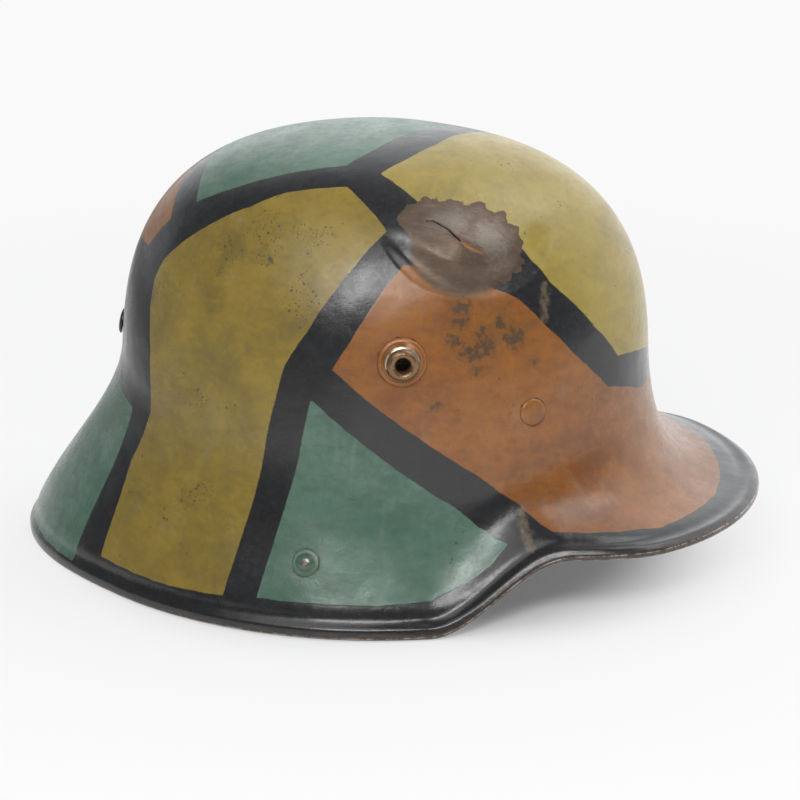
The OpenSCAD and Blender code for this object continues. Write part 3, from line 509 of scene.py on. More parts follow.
@dataclass
class Survey:
    """Places on the shell, measured against the painted design.

    Attributes:
        turn: Plan angles.
        step: Even steps down the face.
        real: The places in millimetres.
    """

    turn: Array
    step: Array
    real: Array

    def __post_init__(self) -> None:
        """Finds the places on the chart."""
        self.tape = CHART.tape_at(self.turn, self.step)
        self.spot = Chart.flat(self.turn, self.tape)
        self.squeeze = FORM.around(self.real)[1] / np.maximum(self.tape, 1)

    def paints(self) -> Numbers:
        """Measures the distance to the nearest edge of each paint, negative inside it."""
        found = {paint.value: np.full(len(self.turn), FAR) for paint in Paint}
        for paint, corners in DESIGN.panels:
            found[paint.value] = np.minimum(found[paint.value], Line(corners).edge(self.spot, self.squeeze))
        return {name: np.clip(edge, -FAR, FAR) for name, edge in found.items()}

    def soft(self, marks: Iterable[tuple[Corners, float]]) -> Array:
        """Gives soft marks along lines, 1 along their middles.

        Args:
            marks: Each one's corners and its half width.

        Returns:
            The strongest mark at each place.
        """
        total = np.zeros(len(self.turn))
        for corners, half in marks:
            gap = Line(corners, False).gap(self.spot, self.squeeze)
            total = np.maximum(total, np.exp(-(gap / half) ** 2))
        return total

    def round(self, marks: Spots) -> Array:
        """Gives soft round marks, each by its plan angle, tape distance and radius."""
        return self.soft((((turn, tape), (turn + 0.01, tape)), radius) for turn, tape, radius in marks)

    def lines(self, near: Array) -> Numbers:
        """Measures the struck patch and its cracks.

        Args:
            near: Which places lie near enough to be worth measuring.

        Returns:
            Distances by name, negative inside the patch.
        """
        found = {}
        for name, corners, closed in (("patch_edge", DESIGN.patch, True), ("crack_gap", DESIGN.crack, False),
                                      ("rusty_gap", DESIGN.rusty_crack, False),
                                      ("hair_gap", DESIGN.hair_crack, False)):
            made = Line(corners, closed)
            values = np.full(len(self.turn), FAR)
            if near.any():
                measure = made.edge if closed else made.gap
                values[near] = np.clip(measure(self.spot[near], self.squeeze[near]), -FAR, FAR)
            found[name] = values
        return found

    def numbers(self) -> Numbers:
        """Works out every number of the design that the finish reads, by name."""
        near = away(self.real, STRUCK.spot()) < 45
        marks = {"stain": DESIGN.stains, "chip": DESIGN.chips, "speckled": DESIGN.speckled,
                 "dark_spot": DESIGN.dark_spots, "painted_highlight_spot": DESIGN.painted_highlight_spots, "blurred": DESIGN.blurred}
        found = {**self.paints(), **self.lines(near), **{name: self.round(at) for name, at in marks.items()}}
        return {**found, "streak": self.soft((corners, DESIGN.streak_half) for corners in DESIGN.streaks)}


@dataclass(frozen=True)
class Fitting:
    """Where a fitting sits on the shell, and the radius of what lies on the paint."""

    turn: float
    height: float
    radius: float

    def spot(self, side: int = 1) -> Array:
        """Gives its place on the skin, in millimetres; side is -1 for its twin on the right."""
        return np.array(FORM.skin(side * self.turn, self.height))

    def outward(self, side: int = 1) -> Array:
        """Gives the outward direction there."""
        return np.array(FORM.skin_normal(side * self.turn, self.height))


VENT = Fitting(73.0, 100.0, 9.0)
FRONT_RIVET = Fitting(42.5, 78.0, 5.2)
REAR_RIVET = Fitting(187.0, 88.0, 5.2)
CHIN_RIVET = Fitting(94.0, 26.0, 5.2)
STRUCK = Fitting(-54.0, 137.0, 24.0)
TROUGH = Fitting(-48.5, 149.0, 28.5)


class Graph:
    """The nodes of one material, or of the room."""

    def __init__(self, name: str, room: bool = False) -> None:
        """Starts an empty material, or an empty world for the room."""
        self.owner = (bpy.data.worlds if room else bpy.data.materials).new(name)
        self.owner.use_nodes = True
        self.tree = self.owner.node_tree
        self.tree.nodes.clear()

    def add(self, kind: str, settings: dict | None = None, inputs: dict | None = None) -> bpy.types.Node:
        """Adds any node.

        Args:
            kind: The node's type, without its Shader prefix.
            settings: Its properties by name.
            inputs: Values or links by the socket's name or number.

        Returns:
            The node.
        """
        node = self.tree.nodes.new("ShaderNode" + kind)
        for key, value in (settings or {}).items():
            setattr(node, key, value)
        for key, value in (inputs or {}).items():
            self.feed(node.inputs[key], value)
        return node

    def feed(self, socket: Socket, value: object) -> None:
        """Links or sets one socket.

        Args:
            socket: The socket that takes the value.
            value: A Link, a socket, a number or a colour.
        """
        if isinstance(value, Link):
            value = value.socket
        if isinstance(value, Socket):
            self.tree.links.new(value, socket)
        elif isinstance(value, tuple) and socket.type == "RGBA":
            socket.default_value = (*value, 1)
        else:
            socket.default_value = value

    def read(self, kind: str, settings: dict | None = None, inputs: dict | None = None, output: int | str = 0
             ) -> "Link":
        """Adds a node and reads one of its outputs as a number."""
        return Link(self, self.add(kind, settings, inputs).outputs[output])

    def value(self, name: str) -> "Link":
        """Reads a number that the mesh carries under a name."""
        return self.read("Attribute", {"attribute_name": name}, output="Fac")

    @property
    def here(self) -> Socket:
        """The place on the object."""
        return self.add("TexCoord").outputs["Object"]

    def axis(self, number: int) -> "Link":
        """Reads one coordinate of the place on the object."""
        return self.read("SeparateXYZ", None, {0: self.here}, number)

    def stretched(self, scale: Colour, turn: Colour = (0, 0, 0)) -> Socket:
        """Gives the place on the object, turned and stretched."""
        return self.add("Mapping", {"vector_type": "POINT"},
                        {"Vector": self.here, "Rotation": turn, "Scale": scale}).outputs[0]

    def noise(self, scale: float, detail: float = 3, rough: float = 0.55, bend: float = 0,
              place: Socket | None = None) -> "Link":
        """Adds noise of about 0 to 1, by its clouds per metre, octaves, roughness, distortion and place."""
        return self.read("TexNoise", None, {"Vector": place or self.here, "Scale": scale, "Detail": detail,
                                            "Roughness": rough, "Distortion": bend})

    def cells(self, scale: float, feature: str = "F1") -> "Link":
        """Adds a pattern of cells, read by the distance from their middles or edges."""
        return self.read("TexVoronoi", {"feature": feature}, {"Vector": self.here, "Scale": scale}, "Distance")

    def mix(self, a: object, b: object, share: object) -> Socket:
        """Mixes a second colour into a first, by its share."""
        return self.add("Mix", {"data_type": "RGBA"}, {0: share, 6: a, 7: b}).outputs[2]

    def bump(self, height: "Link", depth: float, after: Socket | None = None) -> Socket:
        """Turns a height of 0 to 1 into relief.

        Args:
            height: The height.
            depth: The real depth of 1, in metres.
            after: A relief that this one is laid on.

        Returns:
            The changed normal.
        """
        inputs = {"Height": height, "Distance": depth, "Strength": 1.0}
        if after is not None:
            inputs["Normal"] = after
        return self.add("Bump", None, inputs).outputs[0]

    def close(self, socket: Socket, kind: str = "OutputMaterial") -> Material:
        """Ends the nodes in one shader and gives what they belong to."""
        self.add(kind, None, {"Surface": socket})
        return self.owner

    def surface(self, **inputs: object) -> Material:
        """Closes a material with the plain shader; an underscore stands for a space in a socket's name."""
        named = {key.replace("_", " "): value for key, value in inputs.items()}
        return self.close(self.add("BsdfPrincipled", None, named).outputs[0])


def operator(operation: str, swapped: bool = False) -> Callable[["Link", object], "Link"]:
    """Makes an operator of Link that adds one Math node.

    Args:
        operation: The node's operation.
        swapped: Whether the other value comes first.

    Returns:
        The operator.
    """
    def apply(link: "Link", other: object) -> "Link":
        """Adds the node."""
        pair = (other, link) if swapped else (link, other)
        return link.graph.read("Math", {"operation": operation}, dict(enumerate(pair)))
    return apply


class Link:
    """A number in a material's nodes. Arithmetic on it adds Math nodes, and most() takes the larger of two."""

    __add__ = __radd__ = operator("ADD")
    __mul__ = __rmul__ = operator("MULTIPLY")
    __sub__, __rsub__ = operator("SUBTRACT"), operator("SUBTRACT", True)
    most = operator("MAXIMUM")

    def __init__(self, graph: Graph, socket: Socket) -> None:
        """Wraps a socket of a graph."""
        self.graph, self.socket = graph, socket

    def __abs__(self) -> "Link":
        """Drops the sign."""
        return self.graph.read("Math", {"operation": "ABSOLUTE"}, {0: self})

    def sway(self, width: float) -> "Link":
        """Swings a noise round zero."""
        return (self - 0.5) * width

    def rise(self, low: float, high: float, top: float = 1.0) -> "Link":
        """Rises smoothly from 0 at low to top at high, or falls where high lies below low."""
        ends = (low, high, 0.0, top) if low < high else (high, low, top, 0.0)
        inputs = dict(zip(("Value", "From Min", "From Max", "To Min", "To Max"), (self, *ends)))
        return self.graph.read("MapRange", {"interpolation_type": "SMOOTHSTEP"}, inputs)


class PaintNodes(Graph):
    """The nodes of the shell's paint, with the noises that its parts share."""

    def __init__(self, name: str) -> None:
        """Adds the noises."""
        super().__init__(name)
        self.fine, self.mid, self.broad = self.noise(420, 4, 0.6), self.noise(95, 4), self.noise(17, 3)
        self.grit = self.noise(1500, 3, 0.6)
        self.strokes = self.noise(70, 5, 0.65, 0.8, self.stretched((1, 1, 3), (0.5, 0.2, 0)))


@dataclass(frozen=True)
class ShellPaint:
    """Hand-painted camouflage over bare steel, worn at the rim and scraped where the shell was struck."""

    name: str = "shell_paint"
    black: Colour = (0.012, 0.012, 0.0125)
    black_sheen: Colour = (0.021, 0.0215, 0.023)
    rust: Colour = (0.268, 0.1, 0.019)
    tones: tuple[tuple[Paint, Colour, Colour], ...] = (
        (Paint.RUST, rust, (0.16, 0.058, 0.016)), (Paint.YELLOW, (0.32, 0.24, 0.052), (0.25, 0.187, 0.04)),
        (Paint.OCHRE, (0.255, 0.178, 0.032), (0.17, 0.12, 0.026)),
        (Paint.GREEN, (0.085, 0.155, 0.113), (0.042, 0.1, 0.07)))
    metal: Colour = (0.19, 0.155, 0.128)
    brown: Colour = (0.105, 0.07, 0.048)
    scorch_and_shade: Colour = (0.078, 0.05, 0.03)
    # near-black painted along the crack and the hairline crack: the shade inside the tear
    torn: Colour = (0.004, 0.003, 0.003)
    edge_metal: Colour = (0.1, 0.084, 0.073)
    edge_brown: Colour = (0.055, 0.043, 0.034)
    # worn bright metal; on the roll it also paints the two highlight lines
    bare: Colour = (0.5, 0.43, 0.37)
    primer: Colour = (0.035, 0.033, 0.03)
    chipped: Colour = (0.055, 0.055, 0.05)
    stain: Colour = (0.035, 0.034, 0.024)
    stain_rim: Colour = (0.055, 0.045, 0.025)
    streak: Colour = (0.17, 0.125, 0.075)
    # near-black ring round each fitting: partly grime, partly painted shade of the gap
    gap_grime_and_shade: Colour = (0.012, 0.01, 0.009)
    inside: Colour = (0.055, 0.058, 0.045)
    rusty: Colour = (0.11, 0.045, 0.018)
    dusty: Colour = (0.25, 0.24, 0.2)
    grimy: Colour = (0.075, 0.07, 0.035)

    def material(self) -> Material:
        """Makes the shell's finish."""
        g = PaintNodes(self.name)
        fine, mid, grit, strokes = g.fine, g.mid, g.grit, g.strokes
        painted, colour = self.panels(g)
        colour = self.marks(g, colour, painted)
        scrape, colour = self.scraped(g, colour)
        colour = g.mix(colour, self.rust, (g.value("rusty_gap") + fine.sway(4.5) + grit.sway(3.5))
                       .rise(1.6, -0.6, 0.75))
        # Near-black along the crack and the hairline crack is painted shade inside the tear.
        cut = (g.value("crack_gap") + fine.sway(0.3)).rise(0.27, 0.1).most(
            g.value("hair_gap").rise(0.3, 0.1, 0.8))
        worn, colour = self.rolled_edge(g, g.mix(colour, self.torn, cut))
        inner = g.value("inside")
        lining = g.mix(self.inside, self.rusty, (mid * 0.6 + fine * 0.5).rise(0.52, 0.68, 0.8))
        colour = g.mix(colour, lining, inner)
        rub = (g.value("rub") + fine.sway(0.7) + mid.sway(0.4)).rise(0.6, 0.9)
        colour = g.mix(colour, g.mix(self.edge_metal, self.bare, fine.rise(0.45, 0.7, 0.6)), rub)
        rough = (0.23 + g.axis(2).rise(0.1, 0.15, 0.05) + mid.sway(0.2) + fine.sway(0.2) + painted * 0.06
                 + scrape * 0.16 + inner * 0.25 + cut * 0.3)
        relief = strokes * 0.2 + fine * 0.3 + grit * (scrape * 0.2 + 0.09) + painted * 0.15
        normal = g.bump(g.noise(42, 2), 0.0007, g.bump(relief, 0.00018))
        return g.surface(Base_Color=colour, Metallic=scrape * 0.45 + worn * 0.3 + rub * 0.6, Roughness=rough,
                         Normal=normal, Specular_IOR_Level=0.5)

    def panels(self, g: PaintNodes) -> tuple[Link, Socket]:
        """Lays the black ground and the panels over it.

        Args:
            g: The material's nodes.

        Returns:
            Where the panels are, and the colour.
        """
        fine, mid, broad, strokes = g.fine, g.mid, g.broad, g.strokes
        wobble = mid.sway(0.8) + fine.sway(0.55)
        sheen = (broad * 0.5 + strokes * 0.4 + fine * 0.3 - 0.1).rise(0.3, 0.75)
        colour = g.mix(self.black, self.black_sheen, sheen)
        blotch = (broad * 0.6 + mid * 0.4 + strokes * 0.45 + fine * 0.4 - 0.43).rise(0.3, 0.7)
        scuffed = g.noise(120, 5, 0.7, 0.4, g.stretched((1, 1, 0.3))).rise(0.54, 0.74, 0.18)
        smudged = g.noise(34, 5, 0.7, 0.6).rise(0.52, 0.7, 0.34)
        painted = None
        for paint, light, deep in self.tones:
            mask = (g.value(paint.value) + wobble).rise(0.3, -0.2)
            colour = g.mix(colour, g.mix(light, deep, blotch), mask)
            painted = mask if painted is None else painted.most(mask)
        colour = g.mix(colour, self.dusty, scuffed * painted)
        return painted, g.mix(colour, self.grimy, smudged * painted)

    def marks(self, g: PaintNodes, colour: Socket, painted: Link) -> Socket:
        """Adds stains, chips, specks and streaks to the paint, and a dark ring round each fitting that is
        partly grime and partly painted shade.

        Args:
            g: The material's nodes.
            colour: The clean paint.
            painted: Where the panels are.

        Returns:
            The marked paint.
        """
        fine, mid, grit = g.fine, g.mid, g.grit
        stain = g.value("stain")
        ragged = stain * 1.1 + fine.sway(2.6) + grit.sway(1.2) + mid.sway(1.4)
        colour = g.mix(colour, self.stain_rim, stain.rise(0.05, 0.9, 0.3))
        colour = g.mix(colour, self.stain, ragged.rise(0.75, 1.0, 0.62))
        chip = g.value("chip") + fine.sway(2.2) + mid.sway(0.6)
        colour = g.mix(colour, self.chipped, chip.rise(0.85, 1.0, 0.85))
        where = g.value("speckled") * 0.5 + g.noise(75, 4, 0.65).sway(2.2) + 0.45
        specks = (g.cells(330).rise(0.22, 0.1) * where.rise(0.62, 0.75)).most(
            g.cells(760).rise(0.3, 0.14) * where.rise(0.7, 0.85))
        colour = g.mix(colour, self.primer, specks * painted * 0.85)
        colour = g.mix(colour, self.primer, (grit * 0.5 + fine * 0.5).rise(0.67, 0.72, 0.4) * painted)
        streak = g.value("streak") + mid.sway(0.8) + fine.sway(1.2)
        colour = g.mix(colour, self.streak, streak.rise(0.45, 1.1, 0.6))
        # A dark ring painted round each fitting's base: partly grime in the seam, partly painted shade of the
        # gap.
        return g.mix(colour, self.gap_grime_and_shade, g.value("fitting_gap").rise(0.9, 0.15, 0.85))

    def scraped(self, g: PaintNodes, colour: Socket) -> tuple[Link, Socket]:
        """Scrapes the struck patch down to brushed metal with scorch marks, with painted highlights on its
        upper part and painted shade on its lower middle.

        Args:
            g: The material's nodes.
            colour: The paint.

        Returns:
            Where it is bare, and the colour.
        """
        fine, mid, grit = g.fine, g.mid, g.grit
        ragged = g.value("patch_edge") + fine.sway(2.2) + grit.sway(1.2)
        flaked = (ragged + (g.cells(300) - 0.4) * 2.4).rise(0.2, -0.2)
        blurred = g.value("blurred").rise(0.25, 0.7)
        scrape = flaked * (1 - blurred) + ragged.rise(1.6, -2.6) * blurred
        brushed = g.noise(520, 4, 0.65, 0.6, g.stretched((1, 0.35, 1), (0, 0.6, 0.9)))
        # The pale spots are painted highlights on the scraped metal; the rest of this mix is brushed metal
        # that varies at random.
        pale = (g.value("painted_highlight_spot") * 0.7 + brushed.sway(1.1) + mid.sway(0.7) + 0.25).rise(0.1, 0.85)
        # Darker at the lower middle of the patch: partly scorch on the metal, partly painted shade of the
        # bulge's underside.
        metal = g.mix(g.mix(self.brown, self.metal, pale), self.scorch_and_shade,
                      (g.value("dark_spot") * 1.2 + fine.sway(1.2)).rise(0.3, 1.3, 0.7))
        metal = g.mix(metal, self.scorch_and_shade,
                      (g.value("patch_edge") + fine.sway(3)).rise(-3.5, -0.2, 0.7) * (1 - blurred))
        metal = g.mix(metal, self.scorch_and_shade, grit.rise(0.45, 0.62, 0.25))
        return scrape, g.mix(colour, metal, scrape)

    def rolled_edge(self, g: PaintNodes, colour: Socket) -> tuple[Link, Socket]:
        """Wears the rolled edge down to brown metal, and paints two pale lines along it that stand for its
        highlights, partly worn bright metal.

        Args:
            g: The material's nodes.
            colour: The paint.

        Returns:
            Where it is worn, and the colour.
        """
        fine, mid = g.fine, g.mid
        share = g.value("roll_share")
        on_roll = (share + fine.sway(0.1) + mid.sway(0.1)).rise(0.06, 0.12)
        above = (g.value("rim_gap") + mid.sway(5.0) + fine.sway(3.0)).rise(0.7, -0.2, 0.8)
        worn = on_roll.most(above)
        roll = g.mix(self.edge_brown, self.edge_metal, (fine * 0.6 + mid * 0.5).rise(0.48, 0.68))
        # Two pale lines along the roll: painted highlights of the bend, partly worn bright metal.
        low, high = ((abs(share - at) + fine.sway(0.05)).rise(width, 0.008)
                     for at, width in ((0.17, 0.032), (0.38, 0.028)))
        roll = g.mix(roll, self.bare, low.most(high) * (fine * 0.8 + mid * 0.5).rise(0.56, 0.76))
        return worn, g.mix(colour, roll, worn)


@dataclass(frozen=True)
class WornMetal:
    """Metal with or without a coat of paint that has rubbed through at its edges."""

    name: str
    coat: Colour
    under: Colour
    bare: Colour
    gloss: float = 0.4
    metallic: float = 0.75

    def material(self) -> Material:
        """Makes the finish."""
        g = Graph(self.name)
        fine, mid, grit = g.noise(700, 4, 0.6), g.noise(160, 3), g.noise(2600, 2)
        wear = g.value("wear") + fine.sway(0.6) + mid.sway(0.5)
        raised = g.value("raised")
        colour = g.mix(self.coat, self.under, (fine * 0.4 + mid * 0.3 + raised * 0.5).rise(0.45, 0.8))
        rubbed = wear.rise(0.62, 0.95)
        colour = g.mix(colour, self.bare, rubbed)
        colour = g.mix(colour, (0.012, 0.01, 0.008), (grit * 0.5 + mid * 0.5).rise(0.62, 0.7, 0.6))
        shown = rubbed.most(raised * 0.8)
        return g.surface(Base_Color=colour, Metallic=self.metallic * (0.25 + shown * 0.75),
                         Roughness=self.gloss + fine.sway(0.3) + mid.sway(0.2),
                         Normal=g.bump(fine * 0.6 + grit * 0.4, 0.00012))


@dataclass(frozen=True)
class Leather:
    """Tanned leather with pores, creases and darkened edges."""

    name: str
    flesh: Colour
    dark: Colour
    pale: Colour
    pore_scale: float = 900.0
    gloss: float = 0.52

    def material(self) -> Material:
        """Makes the finish."""
        g = Graph(self.name)
        fine, mid, broad = g.noise(600, 4, 0.6), g.noise(140, 4, 0.6, 0.5), g.noise(26, 3)
        pores, creases = g.cells(self.pore_scale), g.cells(95, "DISTANCE_TO_EDGE")
        colour = g.mix(self.flesh, self.dark, (broad * 0.6 + mid * 0.5).rise(0.35, 0.75))
        colour = g.mix(colour, self.pale, (mid * 0.5 + fine * 0.55).rise(0.56, 0.74, 0.5))
        colour = g.mix(colour, self.dark, creases.rise(0.035, 0.0, 0.45))
        colour = g.mix(colour, self.dark, (g.value("edge_gap") + fine.sway(1.2)).rise(1.4, 0.2, 0.8))
        relief = pores.rise(0.0, 0.5) * 0.35 + creases.rise(0.0, 0.06) * 0.4 + fine * 0.2
        return g.surface(Base_Color=colour, Roughness=self.gloss + mid.sway(0.3) - pores * 0.08,
                         Normal=g.bump(relief, 0.00022), Specular_IOR_Level=0.4)


@dataclass(frozen=True)
class Linen:
    """Coarse plain-woven linen, greyed with use."""

    name: str = "linen"
    yarn: Colour = (0.46, 0.41, 0.31)
    shade: Colour = (0.28, 0.24, 0.17)
    grime: Colour = (0.17, 0.13, 0.085)

    def material(self) -> Material:
        """Makes the finish."""
        g = Graph(self.name)
        uv = g.add("UVMap", {"uv_map": "cloth"}).outputs[0]
        inputs = {"Vector": uv, "Scale": 320.0, "Distortion": 0.6, "Detail": 1.0}
        warp, weft = (g.read("TexWave", {"wave_type": "BANDS", "bands_direction": axis}, inputs, 1)
                      for axis in "XY")
        broad, fine = g.noise(30, 3), g.noise(500, 4)
        weave = warp * 0.5 + weft * 0.5
        colour = g.mix(self.shade, self.yarn, weave.rise(0.2, 0.8))
        colour = g.mix(colour, self.grime, (broad * 0.7 + fine * 0.3).rise(0.5, 0.75, 0.6))
        return g.surface(Base_Color=colour, Roughness=0.85, Sheen_Weight=0.25,
                         Normal=g.bump(weave * 0.7 + fine * 0.3, 0.0003))


Finish = ShellPaint | WornMetal | Leather | Linen

PAINT = ShellPaint()
LUG = WornMetal("browned_lug", (0.27, 0.1, 0.022), (0.19, 0.11, 0.055), (0.6, 0.47, 0.34), 0.24)
STEEL = WornMetal("dull_steel", (0.14, 0.135, 0.13), (0.085, 0.07, 0.055), (0.42, 0.4, 0.38), 0.42, 0.85)
BUCKLE = WornMetal("buckle_steel", (0.19, 0.18, 0.165), (0.1, 0.08, 0.06), (0.5, 0.48, 0.45), 0.36, 0.9)
BRASS = WornMetal("tarnished_brass", (0.3, 0.2, 0.075), (0.13, 0.085, 0.04), (0.6, 0.44, 0.2), 0.34, 0.9)
BAND_LEATHER = Leather("band_leather", (0.16, 0.085, 0.04), (0.07, 0.038, 0.02), (0.25, 0.15, 0.08))
PAD_LEATHER = Leather("pad_leather", (0.3, 0.19, 0.1), (0.13, 0.075, 0.04), (0.42, 0.29, 0.17), 700.0)
STRAP_LEATHER = Leather("strap_leather", (0.085, 0.045, 0.025), (0.035, 0.02, 0.013), (0.17, 0.1, 0.06),
                        1100.0)
THREAD = Leather("waxed_thread", (0.4, 0.34, 0.23), (0.22, 0.18, 0.11), (0.5, 0.44, 0.32), 3000.0, gloss=0.6)
LINEN = Linen()


class Cached:
    """Keeps one material for each finish."""

    made: dict[str, Material] = {}

    @classmethod
    def of(cls, finish: Finish) -> Material:
        """Gives a finish's material, made once."""
        if finish.name not in cls.made:
            cls.made[finish.name] = finish.material()
        return cls.made[finish.name]


def added(name: str, data: object) -> bpy.types.Object:
    """Adds an object to the scene, from a mesh that is built, which it frees, or from other data."""
    if isinstance(data, Mesh):
        built, data = data, bpy.data.meshes.new(name)
        built.to_mesh(data)
        built.free()
    new = bpy.data.objects.new(name, data)
    bpy.context.scene.collection.objects.link(new)
    return new


class Piece:
    """One visible piece: a mesh with its own numbers, finish and body."""

    def __init__(self, name: str, bm: Mesh, body: str, slot: str, replaces: Iterable[str] = ()
                 ) -> None:
        """Makes the object from a finished mesh.

        Args:
            name: Its name.
            bm: Its mesh, in metres, in place.
            body: The body that carries it.
            slot: Not used.
            replaces: The solids that it stands for.
        """
        self.object = added(name, bm)
        self.object.data.shade_smooth()
        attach(self.object, body)
        if replaces:
            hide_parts(*replaces)

    def number(self, name: str, values: Array) -> "Piece":
        """Gives every vertex a number for the finish to read."""
        self.object.data.attributes.new(name, "FLOAT", "POINT").data.foreach_set(
            "value", np.asarray(values, np.float32))
        return self

    def uv(self, name: str, places: Array) -> "Piece":
        """Lays a UV map from one place per vertex, in metres."""
        mesh = self.object.data
        corner = np.zeros(len(mesh.loops), int)
        mesh.loops.foreach_get("vertex_index", corner)
        mesh.uv_layers.new(name=name).data.foreach_set("uv", places[corner].astype(np.float32).ravel())
        return self

    def modifier(self, kind: str, **settings: object) -> "Piece":
        """Adds a live modifier."""
        new = self.object.modifiers.new(kind.lower(), kind)
        for key, value in settings.items():
            setattr(new, key, value)
        return self

    def thicken(self, thick: float, bevel: float) -> "Piece":
        """Gives a sheet its thickness and rounded edges, both in millimetres."""
        self.modifier("SOLIDIFY", thickness=thick * MM, offset=0.0)
        return self.modifier("BEVEL", width=bevel * MM, segments=2, limit_method="ANGLE",
                             angle_limit=math.radians(50))

    def dress(self, finish: Finish) -> "Piece":
        """Gives the piece its finish and reports it."""
        self.object.data.materials.append(Cached.of(finish))
        LOG.info("%s: %d vertices, finish %s", self.object.name, len(self.object.data.vertices), finish.name)
        return self


def coordinates(bm: Mesh) -> Array:
    """Reads where a mesh's vertices are, in their order."""
    bm.verts.index_update()
    return np.array([v.co for v in bm.verts])


def move_to(bm: Mesh, places: Array) -> None:
    """Moves a mesh's vertices to new places, given in millimetres."""
    for vert, place in zip(bm.verts, places * MM):
        vert.co = place


def grid(columns: int, rows: int) -> Mesh:
    """Makes a flat sheet of cells that spans 0 to 1 both ways.

    Args:
        columns: Cells along X.
        rows: Cells along Y.

    Returns:
        The mesh.
    """
    bm = bmesh.new()
    bmesh.ops.create_grid(bm, x_segments=columns, y_segments=rows, size=0.5)
    bmesh.ops.translate(bm, verts=bm.verts, vec=(0.5, 0.5, 0))
    return bm


def turned(profile: Profile, around: int = 96, closed: bool = False) -> Mesh:
    """Turns a profile round Z.

    Args:
        profile: Radius and height, in metres, in order.
        around: Steps in the turn.
        closed: Whether the profile runs back to its start.

    Returns:
        The mesh, with its faces outward.
    """
    bm = bmesh.new()
    verts = [bm.verts.new((r, 0, z)) for r, z in profile]
    edges = [bm.edges.new(pair) for pair in zip(verts, verts[1:] + verts[:1] if closed else verts[1:])]
    bmesh.ops.spin(bm, geom=verts + edges, cent=(0, 0, 0), axis=(0, 0, 1), angle=2 * math.pi, steps=around,
                   use_merge=True, use_normal_flip=False, use_duplicate=False)
    bmesh.ops.remove_doubles(bm, verts=bm.verts, dist=1e-7)
    bmesh.ops.recalc_face_normals(bm, faces=bm.faces)
    return bm


